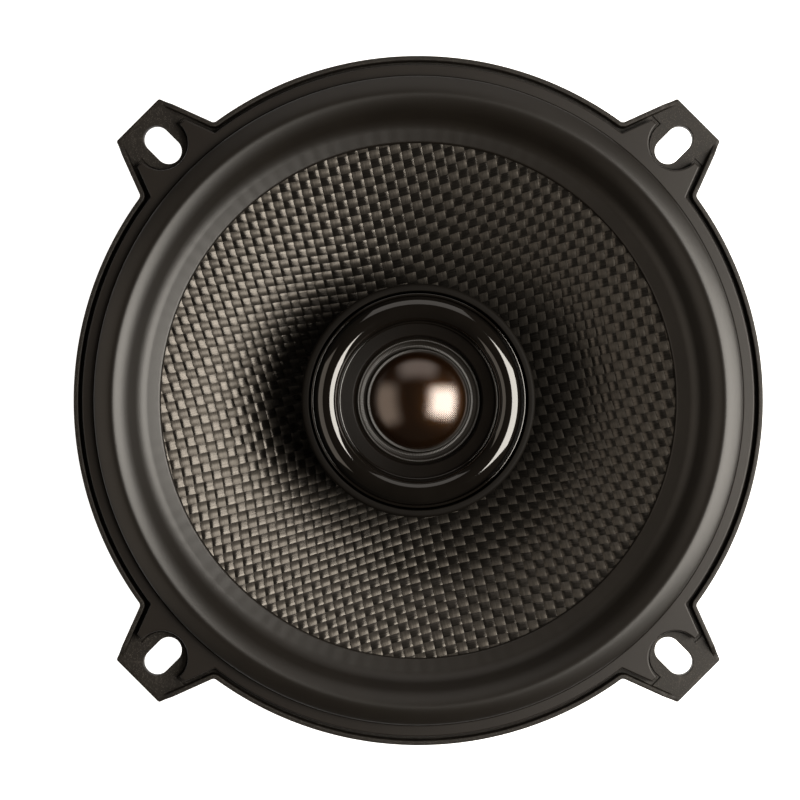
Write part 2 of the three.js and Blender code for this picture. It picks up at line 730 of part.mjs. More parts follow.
const CUP_R = 13.5;
const CUP_BORE_R = 10;
const CUP_TOP = 57.3;
const cupProfile = [
  [0, 51],
  [CUP_R - 0.6, 51],
  [CUP_R, 51.6],
  [CUP_R, CUP_TOP],
  [CUP_BORE_R, CUP_TOP],
  [CUP_BORE_R, 52.6],
  [0, 52.6],
];
part(frame, "tweeter_yoke", turned(cupProfile, SMALL), ZINC);
part(frame, "tweeter_magnet", rod(7.9, 52.9, 55.4, SMALL), NEODYMIUM);
part(frame, "tweeter_pole_plate", rod(8.25, 55.7, 57.2, SMALL), ZINC);

const TWEETER_FORMER_R = 8.6;
const tweeterWinding = TWEETER_FORMER_R + WALL + GAP;
const tweeterFormer = ring(TWEETER_FORMER_R, TWEETER_FORMER_R + WALL, 53.6, 58, SMALL);
part(domeBody, "tweeter_coil_former", tweeterFormer, POLYIMIDE);
part(domeBody, "tweeter_coil_winding", ring(tweeterWinding, tweeterWinding + 0.4, 55, 57.8, SMALL), COPPER);

// A spherical cap with a thin wall.
function dome() {
  const wall = 0.35;
  const centre = DOME_BACK - Math.sqrt(DOME_SPHERE_R ** 2 - DOME_R ** 2);
  const cap = (radius) => {
    const edge = Math.asin((DOME_BACK - centre) / radius);
    return arc(0, centre, radius, edge, Math.PI / 2, 6).map(([r, z]) => [Math.max(r, 0), z]);
  };
  const outer = cap(DOME_SPHERE_R);
  outer[outer.length - 1][0] = 0;
  const inner = cap(DOME_SPHERE_R - wall).reverse();
  inner[0][0] = 0;
  return turned([...inner, ...outer], SMALL);
}

part(domeBody, "tweeter_dome", dome(), DOME_CLOTH);

// A flat rim with a shallow valley between it and the dome.
const tweeterSurroundProfile = [
  [9.6, 58.05],
  [10.2, 57.7],
  [11.2, 57.7],
  [11.9, 58],
  [13.2, 58],
  [13.2, 58.35],
  [11.8, 58.35],
  [11.1, 58],
  [10.3, 58],
  [9.6, 58.35],
];
part(frame, "tweeter_surround", turned(tweeterSurroundProfile, SMALL), DOME_CLOTH);

export default speaker;
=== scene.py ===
import math

import bpy
import numpy as np
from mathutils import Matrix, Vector
from mathutils.geometry import delaunay_2d_cdt


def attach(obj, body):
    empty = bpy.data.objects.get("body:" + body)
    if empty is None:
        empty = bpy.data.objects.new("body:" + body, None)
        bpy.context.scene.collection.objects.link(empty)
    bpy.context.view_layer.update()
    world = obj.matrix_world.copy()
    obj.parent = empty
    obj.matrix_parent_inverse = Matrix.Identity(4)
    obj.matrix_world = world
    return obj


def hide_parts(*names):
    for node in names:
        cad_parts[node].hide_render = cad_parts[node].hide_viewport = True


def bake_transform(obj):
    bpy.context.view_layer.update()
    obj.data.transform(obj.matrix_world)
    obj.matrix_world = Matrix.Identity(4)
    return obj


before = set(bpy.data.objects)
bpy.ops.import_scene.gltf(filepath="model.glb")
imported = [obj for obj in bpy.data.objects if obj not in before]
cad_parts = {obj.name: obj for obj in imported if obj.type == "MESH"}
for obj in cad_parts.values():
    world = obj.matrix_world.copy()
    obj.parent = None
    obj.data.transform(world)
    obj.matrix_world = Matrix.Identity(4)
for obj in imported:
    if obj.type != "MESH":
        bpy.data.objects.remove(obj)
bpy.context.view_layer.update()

# ---- dimensions in millimetres, as in the CAD ----
MM = 0.001
FULL = 2 * math.pi
ROUND = 256  # sides of the large round pieces
SMALL_ROUND = 160
COIL_ROUND = 96
TINY_ROUND = 48

FLANGE_R = 65.0
FLANGE_BACK = 56.0
SEAT_Z = 58.0
POCKET_Z = 57.7
LIP_TOP = 59.4
THROAT_R = 57.2
EAR_TIP = 75.1
EAR_TIP_HALF = 5.7
EAR_FLARE = math.radians(20.7)
EAR_CORNER_R = 0.5
EAR_FILLET_R = 0.9
EAR_ANGLES = [math.radians(45 + 90 * k) for k in range(4)]
SLOT_AT = 68.4
SLOT_HALF = 2.45
SLOT_STRAIGHT = 1.65

CONE_NECK_R = 13.4
CONE_NECK_TOP = 37.1
CONE_NECK_SLOPE = 0.76  # rise for each millimetre outwards at the neck
CONE_FLARE = 0.0059  # how fast the cone flattens towards its rim
CONE_TILT = math.radians(26)  # its slope about halfway out, where the weave's height stands square to it
SCREW_CIRCLE_R = 27.0  # circle of the four motor screws
BLADE_X = 9.0  # how far the terminal blades stand to each side
PANEL_SCREW_X = 12.0
CAPACITOR_Y = -48.6


def cone_front(r):
    return CONE_NECK_TOP + (r - CONE_NECK_R) * (CONE_NECK_SLOPE - CONE_FLARE * (r - CONE_NECK_R))


# ---- outlines ----
def turn(points, angle):
    p = np.asarray(points, float)
    c, s = math.cos(angle), math.sin(angle)
    return np.stack([p[:, 0] * c - p[:, 1] * s, p[:, 0] * s + p[:, 1] * c], 1)


def arc(x, y, radius, start, end, steps):
    a = np.linspace(start, end, steps + 1)
    return np.stack([x + radius * np.cos(a), y + radius * np.sin(a)], 1)


def circle(x, y, radius, sides):
    return arc(x, y, radius, 0, FULL, sides)[:-1]


def at_height(loop, z):
    return np.column_stack([loop, np.full(len(loop), z)])


def offset(loop, distance):
    """A closed anticlockwise loop moved inwards by a distance that is small beside its features."""
    p = np.asarray(loop, float)
    before = p - np.roll(p, 1, 0)
    after = np.roll(p, -1, 0) - p
    before /= np.linalg.norm(before, axis=1, keepdims=True)
    after /= np.linalg.norm(after, axis=1, keepdims=True)
    n0 = np.stack([-before[:, 1], before[:, 0]], 1)
    n1 = np.stack([-after[:, 1], after[:, 0]], 1)
    mid = n0 + n1
    mid /= np.linalg.norm(mid, axis=1, keepdims=True)
    share = np.maximum((mid * n0).sum(1), 0.4)
    return p + mid * (distance / share)[:, None]


def filleted(corners, closed=True, steps=5):
    """Rounds the corners of a profile given as (across, up) or (across, up, radius)."""
    out = []
    count = len(corners)
    for i, corner in enumerate(corners):
        p = np.array(corner[:2], float)
        radius = corner[2] if len(corner) > 2 else 0
        if radius == 0 or (not closed and i in (0, count - 1)):
            out.append(p)
            continue
        a = np.array(corners[i - 1][:2], float) - p
        b = np.array(corners[(i + 1) % count][:2], float) - p
        la, lb = np.linalg.norm(a), np.linalg.norm(b)
        a, b = a / la, b / lb
        half = math.acos(max(-1.0, min(1.0, float(a @ b)))) / 2
        cut = min(radius / math.tan(half), 0.49 * la, 0.49 * lb)
        real = cut * math.tan(half)
        middle = (a + b) / np.linalg.norm(a + b)
        centre = p + middle * real / math.sin(half)
        start, end = p + a * cut - centre, p + b * cut - centre
        a0 = math.atan2(start[1], start[0])
        sweep = (math.atan2(end[1], end[0]) - a0 + math.pi) % FULL - math.pi
        for k in range(steps + 1):
            t = a0 + sweep * k / steps
            out.append(centre + real * np.array([math.cos(t), math.sin(t)]))
    return np.array(out)


# ---- meshes ----
BOX_FACES = [(0, 2, 3, 1), (4, 5, 7, 6), (0, 1, 5, 4), (1, 3, 7, 5), (3, 2, 6, 7), (2, 0, 4, 6)]


def add_mesh(name, points, faces, smooth=32):
    mesh = bpy.data.meshes.new(name)
    mesh.from_pydata((np.asarray(points, float) * MM).tolist(), [], faces)
    mesh.validate()
    mesh.update()
    mesh.polygons.foreach_set("use_smooth", [True] * len(mesh.polygons))
    mesh.set_sharp_from_angle(angle=math.radians(smooth))
    made = bpy.data.objects.new(name, mesh)
    bpy.context.scene.collection.objects.link(made)
    return made


def place(made, body, material, stands_for=()):
    made.data.materials.clear()
    made.data.materials.append(material)
    if body:
        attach(made, body)
    if stands_for:
        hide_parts(*stands_for)
    return made


class Mesh:
    """Collects points and faces, so that one piece can be made of several parts."""

    def __init__(self):
        self.points = []
        self.faces = []
        self.count = 0

    def add(self, points, faces):
        self.points.append(np.asarray(points, float))
        self.faces += [tuple(i + self.count for i in f) for f in faces]
        self.count += len(points)

    def box(self, across, along, up):
        """A box given by its two ends on each axis."""
        self.add([(x, y, z) for z in up for y in along for x in across], BOX_FACES)

    def band(self, loops):
        """Quads between successive closed loops with the same number of points."""
        n = len(loops[0])
        flat = np.concatenate(loops)
        faces = []
        for i in range(len(loops) - 1):
            j = i + 1
            for k in range(n):
                m = (k + 1) % n
                faces.append((i * n + k, i * n + m, j * n + m, j * n + k))
        self.add(flat, faces)

    def lathe(self, profile, sides=ROUND, centre=(0.0, 0.0)):
        """Turns a closed profile, anticlockwise with the radius to the right, about Z."""
        angle = np.linspace(0, FULL, sides, endpoint=False)
        c, s = np.cos(angle), np.sin(angle)
        on_axis = [p[0] < 1e-6 for p in profile]
        rings = []
        for (r, z), axis in zip(profile, on_axis):
            if axis:
                rings.append(np.array([[0.0, 0.0, z]]))
            else:
                rings.append(np.stack([r * c, r * s, np.full(sides, z)], 1))
        start = np.cumsum([0] + [len(ring) for ring in rings])
        points = np.concatenate(rings) + np.array([centre[0], centre[1], 0.0])
        faces = []
        n = len(profile)
        for i in range(n):
            j = (i + 1) % n
            if on_axis[i] and on_axis[j]:
                continue
            for k in range(sides):
                m = (k + 1) % sides
                a, b = start[i], start[j]
                if on_axis[i]:
                    faces.append((a, b + m, b + k))
                elif on_axis[j]:
                    faces.append((a + k, a + m, b))
                else:
                    faces.append((a + k, a + m, b + m, b + k))
        self.add(points, faces)

    def cap(self, outer, holes, heights, up):
        """Fills the region between a loop and its holes. heights is one z for each loop."""
        loops = [np.asarray(outer, float)] + [np.asarray(h, float) for h in holes]
        flat = np.concatenate(loops)
        z = np.concatenate([np.broadcast_to(np.asarray(h, float), len(l)) for h, l in zip(heights, loops)])
        edges, base = [], 0
        for loop in loops:
            n = len(loop)
            edges += [(base + k, base + (k + 1) % n) for k in range(n)]
            base += n
        found = delaunay_2d_cdt([Vector(p) for p in flat], edges, [], 0, 1e-7)
        spots, triangles = np.array([list(v) for v in found[0]]), found[2]
        source = [ids[0] if ids else -1 for ids in found[3]]
        centres = np.array([spots[list(t)].mean(0) for t in triangles])
        keep = inside(centres, loops[0])
        for loop in loops[1:]:
            keep &= ~inside(centres, loop)
        new_z = np.array([z[i] if i >= 0 else z.mean() for i in source])
        points = np.column_stack([spots, new_z])
        faces = []
        for t, ok in zip(triangles, keep):
            if not ok:
                continue
            a, b, c = (spots[i] for i in t)
            ahead = (b[0] - a[0]) * (c[1] - a[1]) - (b[1] - a[1]) * (c[0] - a[0]) > 0
            faces.append(tuple(t) if ahead == up else tuple(reversed(t)))
        self.add(points, faces)

    def plate(self, outline, holes, z0, z1, bevel=0.2, steps=3):
        """A flat plate with rounded edges. The outline is anticlockwise; holes are anticlockwise too."""
        turns = np.linspace(0, math.pi / 2, steps + 1)

        def loops_of(loop, sign):
            made = []
            for t in turns:
                made.append((offset(loop, sign * bevel * (1 - math.sin(t))), z0 + bevel * (1 - math.cos(t))))
            for t in turns[::-1]:
                made.append((offset(loop, sign * bevel * (1 - math.sin(t))), z1 - bevel * (1 - math.cos(t))))
            return made

        walls = loops_of(outline, 1)
        self.band([at_height(p, z) for p, z in walls])
        hole_walls = [loops_of(h, -1) for h in holes]
        for made in hole_walls:
            self.band([at_height(p, z) for p, z in made[::-1]])
        self.cap(walls[0][0], [h[0][0] for h in hole_walls], [z0] * (1 + len(holes)), False)
        self.cap(walls[-1][0], [h[-1][0] for h in hole_walls], [z1] * (1 + len(holes)), True)

    def tube(self, path, radius, sides):
        """A round wire with flat ends along a dense path of points."""
        p = np.asarray(path, float)
        n = len(p)
        a = np.linspace(0, FULL, sides, endpoint=False)
        along = np.gradient(p, axis=0)
        along /= np.linalg.norm(along, axis=1, keepdims=True)
        side = np.cross(along[0], [0.31, 0.62, 0.72])
        side /= np.linalg.norm(side)
        rings = []
        for i in range(n):
            side = side - along[i] * (side @ along[i])
            side /= np.linalg.norm(side)
            other = np.cross(along[i], side)
            rings.append(p[i] + radius * (np.outer(np.cos(a), side) + np.outer(np.sin(a), other)))
        self.band(rings)
        base = self.count - n * sides
        self.faces.append(tuple(base + k for k in range(sides))[::-1])
        self.faces.append(tuple(base + (n - 1) * sides + k for k in range(sides)))

    def changed(self, function):
        """Passes every point so far through a function of an N x 3 array."""
        self.points = [function(np.concatenate(self.points))]
        return self

    def make(self, name, smooth=32):
        return add_mesh(name, np.concatenate(self.points), self.faces, smooth)


def inside(points, loop):
    """Which of the points lie within a closed loop."""
    x, y = points[:, 0], points[:, 1]
    within = np.zeros(len(points), bool)
    x0, y0 = loop[-1]
    for x1, y1 in loop:
        crosses = (y0 > y) != (y1 > y)
        if y1 != y0:
            within ^= crosses & (x < (x1 - x0) * (y - y0) / (y1 - y0) + x0)
        x0, y0 = x1, y1
    return within


def smooth_path(points, count):
    """A smooth curve through the points that does not overshoot them, evenly resampled."""
    p = np.asarray(points, float)
    full = np.concatenate([[2 * p[0] - p[1]], p, [2 * p[-1] - p[-2]]])
    out = []
    for i in range(1, len(full) - 2):
        p0, p1, p2, p3 = full[i - 1 : i + 3]
        m1 = (p2 - p0) / 2
        m2 = (p3 - p1) / 2
        span = np.linalg.norm(p2 - p1)
        for m in (m1, m2):
            length = np.linalg.norm(m)
            if length > span:
                m *= span / length
        t = np.linspace(0, 1, 24, endpoint=False)[:, None]
        h = (2 * t**3 - 3 * t**2 + 1) * p1 + (t**3 - 2 * t**2 + t) * m1
        out.append(h + (-2 * t**3 + 3 * t**2) * p2 + (t**3 - t**2) * m2)
    line = np.concatenate(out + [p[-1:]])
    run = np.concatenate([[0], np.cumsum(np.linalg.norm(np.diff(line, axis=0), axis=1))])
    at = np.linspace(0, run[-1], count)
    return np.stack([np.interp(at, run, line[:, k]) for k in range(3)], 1)


def baked(made, *modifiers):
    """Applies modifiers given as (type, settings) and returns the object with its new mesh."""
    for kind, settings in modifiers:
        modifier = made.modifiers.new(kind.lower(), kind)
        for key, value in settings.items():
            setattr(modifier, key, value)
    graph = bpy.context.evaluated_depsgraph_get()
    mesh = bpy.data.meshes.new_from_object(made.evaluated_get(graph))
    made.modifiers.clear()
    made.data = mesh
    return made


def booleans(operation, tools):
    """Modifiers for baked() that join tools to a piece or cut them out of it."""
    return [("BOOLEAN", {"operation": operation, "object": tool, "solver": "EXACT"}) for tool in tools]


def discard(objects):
    for each in objects:
        bpy.data.objects.remove(each)


def lathed(name, profile, sides=ROUND, closed=True, steps=5, smooth=32, centre=(0.0, 0.0)):
    """A piece turned about Z from a profile whose corners are rounded."""
    body = Mesh()
    body.lathe(filleted(profile, closed, steps), sides, centre)
    return body.make(name, smooth)


# ---- materials ----
class Shader:
    """A node material with a few shorthands for procedural detail in the object's own millimetres."""

    def __init__(self, name, coordinates="Object"):
        self.material = bpy.data.materials.new(name)
        self.material.use_nodes = True
        self.tree = self.material.node_tree
        self.tree.nodes.clear()
        self.output = self.node("ShaderNodeOutputMaterial")
        self.bsdf = self.node("ShaderNodeBsdfPrincipled")
        self.link(self.bsdf.outputs["BSDF"], self.output.inputs["Surface"])
        where = self.node("ShaderNodeTexCoord")
        scale = self.node("ShaderNodeVectorMath", operation="SCALE")
        scale.inputs["Scale"].default_value = 1 / MM
        self.link(where.outputs[coordinates], scale.inputs[0])
        self.mm = scale.outputs[0]
        self.height = None

    def node(self, kind, **settings):
        made = self.tree.nodes.new(kind)
        for key, value in settings.items():
            setattr(made, key, value)
        return made

    def link(self, source, target):
        self.tree.links.new(source, target)

    def set(self, **values):
        """Sets constants on the shader's own sockets; underscores stand for spaces."""
        for key, value in values.items():
            self.bsdf.inputs[key.replace("_", " ")].default_value = value
        return self

    def stretched(self, vector, scale):
        made = self.node("ShaderNodeVectorMath", operation="MULTIPLY")
        self.link(vector, made.inputs[0])
        made.inputs[1].default_value = scale
        return made.outputs[0]

    def noise(self, size, detail=3.0, rough=0.5, vector=None):
        """Noise whose largest features are about size millimetres; the value is near 0 to 1."""
        made = self.node("ShaderNodeTexNoise")
        made.inputs["Scale"].default_value = 1 / size
        made.inputs["Detail"].default_value = detail
        made.inputs["Roughness"].default_value = rough
        self.link(vector or self.mm, made.inputs["Vector"])
        return made.outputs["Fac"]

    def cells(self, size, output="Distance"):
        made = self.node("ShaderNodeTexVoronoi")
        made.inputs["Scale"].default_value = 1 / size
        self.link(self.mm, made.inputs["Vector"])
        return made.outputs[output]

    def remap(self, value, low, high, to_low=0.0, to_high=1.0):
        made = self.node("ShaderNodeMapRange")
        self.link(value, made.inputs["Value"])
        for key, number in zip(("From Min", "From Max", "To Min", "To Max"), (low, high, to_low, to_high)):
            made.inputs[key].default_value = number
        return made.outputs["Result"]

    def math(self, operation, a, b=0.0):
        made = self.node("ShaderNodeMath", operation=operation)
        for socket, value in zip(made.inputs, (a, b)):
            if isinstance(value, (int, float)):
                socket.default_value = value
            else:
                self.link(value, socket)
        return made.outputs[0]

    def mix(self, factor, a, b):
        """Mixes two colours, each a tuple or a socket, by a factor from a socket."""
        made = self.node("ShaderNodeMix", data_type="RGBA")
        self.link(factor, made.inputs[0])
        for socket, value in ((made.inputs[6], a), (made.inputs[7], b)):
            if isinstance(value, tuple):
                socket.default_value = (*value, 1.0)
            else:
                self.link(value, socket)
        return made.outputs[2]

    def color(self, socket):
        self.link(socket, self.bsdf.inputs["Base Color"])
        return self

    def rough(self, socket):
        self.link(socket, self.bsdf.inputs["Roughness"])
        return self

    def bump(self, value, depth):
        """Adds relief: value 0 to 1 stands for depth millimetres."""
        made = self.node("ShaderNodeBump")
        made.inputs["Strength"].default_value = 1.0
        made.inputs["Distance"].default_value = depth * MM
        self.link(value, made.inputs["Height"])
        if self.height is not None:
            self.link(self.height, made.inputs["Normal"])
        self.height = made.outputs["Normal"]
        self.link(self.height, self.bsdf.inputs["Normal"])
        return self

    def edges(self):
        """Near 1 on worn convex edges."""
        made = self.node("ShaderNodeNewGeometry")
        return self.remap(made.outputs["Pointiness"], 0.52, 0.6)


def powder_coat():
    s = Shader("powder_coat")
    grain = s.noise(0.3, 4, 0.6)
    cloud = s.noise(9, 3)
    # Bright flecks: the lighter dots in the colour are painted glints, and the bump also raises them a little.
    dot = s.remap(s.cells(0.2), 0.45, 0.2)
    chosen = s.remap(s.cells(0.2, output="Color"), 0.5, 0.6)
    painted_glints = s.math("MULTIPLY", dot, chosen)
    base = s.mix(s.remap(cloud, 0.35, 0.65), (0.0042, 0.0032, 0.0023), (0.0056, 0.0043, 0.0031))
    worn = s.math("MULTIPLY", s.edges(), s.remap(grain, 0.4, 0.6))
    s.color(s.mix(worn, s.mix(painted_glints, base, (0.03, 0.026, 0.021)), (0.02, 0.017, 0.014)))
    s.rough(s.remap(grain, 0.3, 0.7, 0.46, 0.6))
    s.bump(grain, 0.016).bump(painted_glints, 0.02)
    s.set(Specular_IOR_Level=0.2)
    return s.material


def rubber(name, dark, light, grain_size, rough, depth, specular):
    s = Shader(name)
    grain = s.noise(grain_size, 3, 0.6)
    cloud = s.noise(7, 3)
    dust = s.remap(s.noise(0.6, 5, 0.7), 0.6, 0.75, 0.0, 0.35)
    base = s.mix(s.remap(cloud, 0.3, 0.7), dark, light)
    s.color(s.mix(dust, base, tuple(1.8 * c for c in light)))
    s.rough(s.remap(grain, 0.3, 0.7, *rough))
    s.bump(grain, depth)
    s.set(Specular_IOR_Level=specular)
    return s.material


def tow(name, dark, light, rough, anisotropy):
    """Fibre tows in clear resin. U runs across the fibres, which spread the highlight that way."""
    s = Shader(name, "UV")
    fibres = s.noise(1.0, 2, 0.6, s.stretched(s.mm, (11.0, 0.35, 1.0)))
    strands = s.noise(1.0, 2, 0.5, s.stretched(s.mm, (3.0, 0.12, 1.0)))
    tone = s.math("ADD", s.math("MULTIPLY", fibres, 0.65), s.math("MULTIPLY", strands, 0.35))
    s.color(s.mix(s.remap(tone, 0.36, 0.64), dark, light))
    s.rough(s.remap(fibres, 0.3, 0.7, *rough))
    s.bump(fibres, 0.004).bump(strands, 0.01)
    tangent = s.node("ShaderNodeTangent", direction_type="UV_MAP", uv_map="UVMap")
    s.link(tangent.outputs[0], s.bsdf.inputs["Tangent"])
    s.set(Metallic=0.9, Anisotropic=anisotropy, Coat_Weight=0.06, Coat_Roughness=0.12)
    return s.material


def resin():
    s = Shader("cone_resin")
    grain = s.noise(0.4, 4, 0.6)
    s.color(s.mix(s.remap(grain, 0.4, 0.6), (0.006, 0.0055, 0.005), (0.016, 0.015, 0.013)))
    s.rough(s.remap(grain, 0.3, 0.7, 0.3, 0.5))
    s.bump(grain, 0.04)
    return s.material


def moulded(name, dark, light, rough, depth, size, specular=0.5):
    s = Shader(name)
    grain = s.noise(size, 4, 0.6)
    cloud = s.noise(6, 3)
    s.color(s.mix(s.remap(cloud, 0.3, 0.7), dark, light))
    s.rough(s.remap(grain, 0.3, 0.7, *rough))
    s.bump(grain, depth)
    s.set(Specular_IOR_Level=specular)
    return s.material


def metal(name, color, rough=(0.22, 0.38), turned=None):
    """Plated metal with blotches, fine scratches and, where turned, rings that many millimetres apart."""
    s = Shader(name)
    cloud = s.noise(4, 4, 0.6)
    scratch = s.noise(1.0, 3, 0.7, s.stretched(s.mm, (0.8, 9.0, 0.8)))
    dim = tuple(0.86 * c for c in color)
    s.color(s.mix(s.remap(cloud, 0.35, 0.65), dim, color))
    streaks = s.math("ADD", s.math("MULTIPLY", cloud, 0.6), s.math("MULTIPLY", scratch, 0.4))
    s.rough(s.remap(streaks, 0.35, 0.65, *rough))
    s.bump(s.noise(0.5, 4, 0.65), 0.006).bump(scratch, 0.006)
    if turned:
        apart = s.node("ShaderNodeSeparateXYZ")
        s.link(s.mm, apart.inputs[0])
        x, y = apart.outputs[0], apart.outputs[1]
        radius = s.math("SQRT", s.math("ADD", s.math("MULTIPLY", x, x), s.math("MULTIPLY", y, y)))
        rings = s.node("ShaderNodeTexNoise", noise_dimensions="1D")
        rings.inputs["Scale"].default_value = 1 / turned
        rings.inputs["Detail"].default_value = 3
        s.link(s.math("ADD", radius, apart.outputs[2]), rings.inputs["W"])
        s.bump(rings.outputs["Fac"], 0.02)
    s.set(Metallic=1.0)
    return s.material


def ferrite():
    s = Shader("ferrite")
    grain = s.noise(0.3, 5, 0.7)
    cloud = s.noise(5, 4, 0.6)
    # Pits: dented by the bump and painted darker, which is painted shade in them.
    shaded_pits = s.remap(s.cells(1.3), 0.12, 0.04)
    base = s.mix(s.remap(cloud, 0.3, 0.7), (0.022, 0.022, 0.024), (0.045, 0.045, 0.048))
    face = s.mix(shaded_pits, base, (0.01, 0.01, 0.01))
    s.color(s.mix(s.math("MULTIPLY", s.edges(), 0.6), face, (0.09, 0.09, 0.095)))
    s.rough(s.remap(grain, 0.3, 0.7, 0.38, 0.6))
    s.bump(grain, 0.03).bump(shaded_pits, -0.05)
    return s.material


def cloth(
    name, dark, light, pitch, angle, rough, depth,
    coat=0.0, coat_rough=0.2, coat_ior=1.5, specular=0.5, tint=(1, 1, 1),
):
    """Fine plain weave: two sets of threads in the XY plane, turned by an angle."""
    s = Shader(name)
    turned_to = s.node("ShaderNodeVectorRotate", rotation_type="Z_AXIS")
    s.link(s.mm, turned_to.inputs["Vector"])
    turned_to.inputs["Angle"].default_value = math.radians(angle)
    apart = s.node("ShaderNodeSeparateXYZ")
    s.link(turned_to.outputs[0], apart.inputs[0])
    u, v = (s.math("SINE", s.math("MULTIPLY", apart.outputs[k], math.pi / pitch)) for k in (0, 1))
    over = s.remap(s.math("MULTIPLY", u, v), -0.7, 0.7)
    across = s.math("MULTIPLY", s.math("ABSOLUTE", u), over)
    along = s.math("MULTIPLY", s.math("ABSOLUTE", v), s.math("SUBTRACT", 1.0, over))
    height = s.math("ADD", across, along)
    tone = s.noise(1.2, 3)
    # The colour runs from dark in the weave's low places to light on its raised threads: painted shade between the
    # threads.
    s.color(s.mix(s.remap(tone, 0.3, 0.7), s.mix(height, dark, light), light))
    s.rough(s.remap(height, 0.0, 1.0, rough[1], rough[0]))
    s.bump(height, depth)
    if coat:
        s.link(s.height, s.bsdf.inputs["Coat Normal"])
    s.set(Coat_Weight=coat, Coat_Roughness=coat_rough, Coat_IOR=coat_ior)
    s.set(Specular_IOR_Level=specular, Specular_Tint=(*tint, 1.0))
    return s.material


def edge_cloth():
    """Dark coated cloth whose threads run outwards from the dome."""
    s = Shader("dome_edge_cloth")
    apart = s.node("ShaderNodeSeparateXYZ")
    s.link(s.mm, apart.inputs[0])
    angle = s.math("ARCTAN2", apart.outputs[1], apart.outputs[0])
    threads = s.math("ABSOLUTE", s.math("SINE", s.math("MULTIPLY", angle, 110.0)))
    grain = s.noise(0.15, 3)
    # Darker between the raised threads and lighter on them: painted shade in the grooves.
    s.color(s.mix(threads, (0.0012, 0.0008, 0.0005), (0.004, 0.003, 0.002)))
    s.rough(s.remap(grain, 0.3, 0.7, 0.3, 0.42))
    s.bump(threads, 0.03).bump(grain, 0.01)
    s.set(Specular_IOR_Level=0.3)
    return s.material


def braid():
    s = Shader("tinsel")
    twist = s.noise(0.18, 2, 0.5)
    s.color(s.mix(s.remap(twist, 0.4, 0.6), (0.32, 0.13, 0.045), (0.75, 0.38, 0.16)))
    s.rough(s.remap(twist, 0.3, 0.7, 0.25, 0.45))
    s.bump(twist, 0.02)
    s.set(Metallic=1.0)
    return s.material


def windings():
    """Enamelled wire wound in fine turns along Z."""
    s = Shader("windings")
    apart = s.node("ShaderNodeSeparateXYZ")
    s.link(s.mm, apart.inputs[0])
    turns = s.math("ABSOLUTE", s.math("SINE", s.math("MULTIPLY", apart.outputs[2], math.pi / 0.2)))
    s.color(s.mix(s.noise(1.5), (0.42, 0.13, 0.04), (0.62, 0.25, 0.09)))
    s.rough(s.remap(turns, 0.0, 1.0, 0.45, 0.28))
    s.bump(turns, 0.05)
    s.set(Metallic=0.9)
    return s.material


POWDER = powder_coat()
GASKET = rubber(
    "gasket_rubber", (0.0045, 0.0032, 0.0023), (0.0056, 0.0042, 0.0031), 0.2, (0.42, 0.48), 0.012, 0.22
)
SURROUND = rubber(
    "surround_rubber", (0.0034, 0.0025, 0.0017), (0.0043, 0.0033, 0.0023), 0.16, (0.36, 0.42), 0.01, 0.3
)
WEFT = tow("weft_tow", (0.021, 0.0187, 0.0164), (0.052, 0.0473, 0.0419), (0.26, 0.34), 0.93)
WARP = tow("warp_tow", (0.026, 0.0231, 0.0197), (0.054, 0.0482, 0.0417), (0.48, 0.56), 0.0)
RESIN = resin()
SPIDER = cloth("spider_cloth", (0.30, 0.19, 0.06), (0.52, 0.37, 0.15), 0.55, 0, (0.7, 0.9), 0.08)
FERRITE = ferrite()
ZINC = metal("zinc", (0.34, 0.345, 0.36), (0.3, 0.44), turned=0.35)
STEEL = metal("screw_steel", (0.42, 0.42, 0.44))
BRASS = metal("brass", (0.62, 0.42, 0.17))
TIN = metal("tin", (0.66, 0.67, 0.69))
NICKEL = metal("nickel", (0.66, 0.65, 0.62), (0.12, 0.25))
BOARD = moulded("fibre_board", (0.018, 0.012, 0.008), (0.038, 0.026, 0.017), (0.45, 0.7), 0.03, 0.5)
SLEEVE = moulded("capacitor_sleeve", (0.012, 0.03, 0.09), (0.018, 0.045, 0.13), (0.25, 0.4), 0.02, 1.2)
RED_WIRE = moulded("wire_red", (0.28, 0.016, 0.012), (0.38, 0.03, 0.02), (0.35, 0.5), 0.01, 0.5)
BLACK_WIRE = moulded("wire_black", (0.008, 0.008, 0.008), (0.016, 0.016, 0.016), (0.35, 0.5), 0.01, 0.5)
TINSEL = braid()
COPPER = windings()
FILM = moulded("polyimide", (0.26, 0.1, 0.02), (0.4, 0.17, 0.04), (0.25, 0.4), 0.01, 0.6)
HOUSING = moulded(
    "housing_black", (0.002, 0.0015, 0.0011), (0.0027, 0.0021, 0.0015), (0.55, 0.65), 0.008, 0.16, specular=0.06
)
GLOSS = moulded("bezel_gloss", (0.0022, 0.0017, 0.0013), (0.003, 0.0024, 0.0019), (0.05, 0.08), 0.0004, 0.8)
SATIN = moulded(
    "ring_satin", (0.0018, 0.0013, 0.0009), (0.0025, 0.0018, 0.0013), (0.34, 0.42), 0.004, 0.12, specular=0.06
)
DOME = cloth(
    "dome_cloth", (0.0008, 0.0004, 0.0002), (0.0034, 0.0015, 0.0006), 0.3, 42, (0.24, 0.32), 0.014,
    coat=1.0, coat_rough=0.035, coat_ior=1.62, specular=0.3, tint=(1.0, 0.42, 0.14),
)
EDGE_CLOTH = edge_cloth()

# ---- flange: a rounded lip swept round the four-eared outline, with a pocket inside it ----
# An ear's slanted side, its axis along +X: the side's normal, its direction and its distance from the middle.
NORMAL = np.array([math.sin(EAR_FLARE), math.cos(EAR_FLARE)])
ALONG_EAR = np.array([NORMAL[1], -NORMAL[0]])
REACH = NORMAL[0] * EAR_TIP + NORMAL[1] * EAR_TIP_HALF


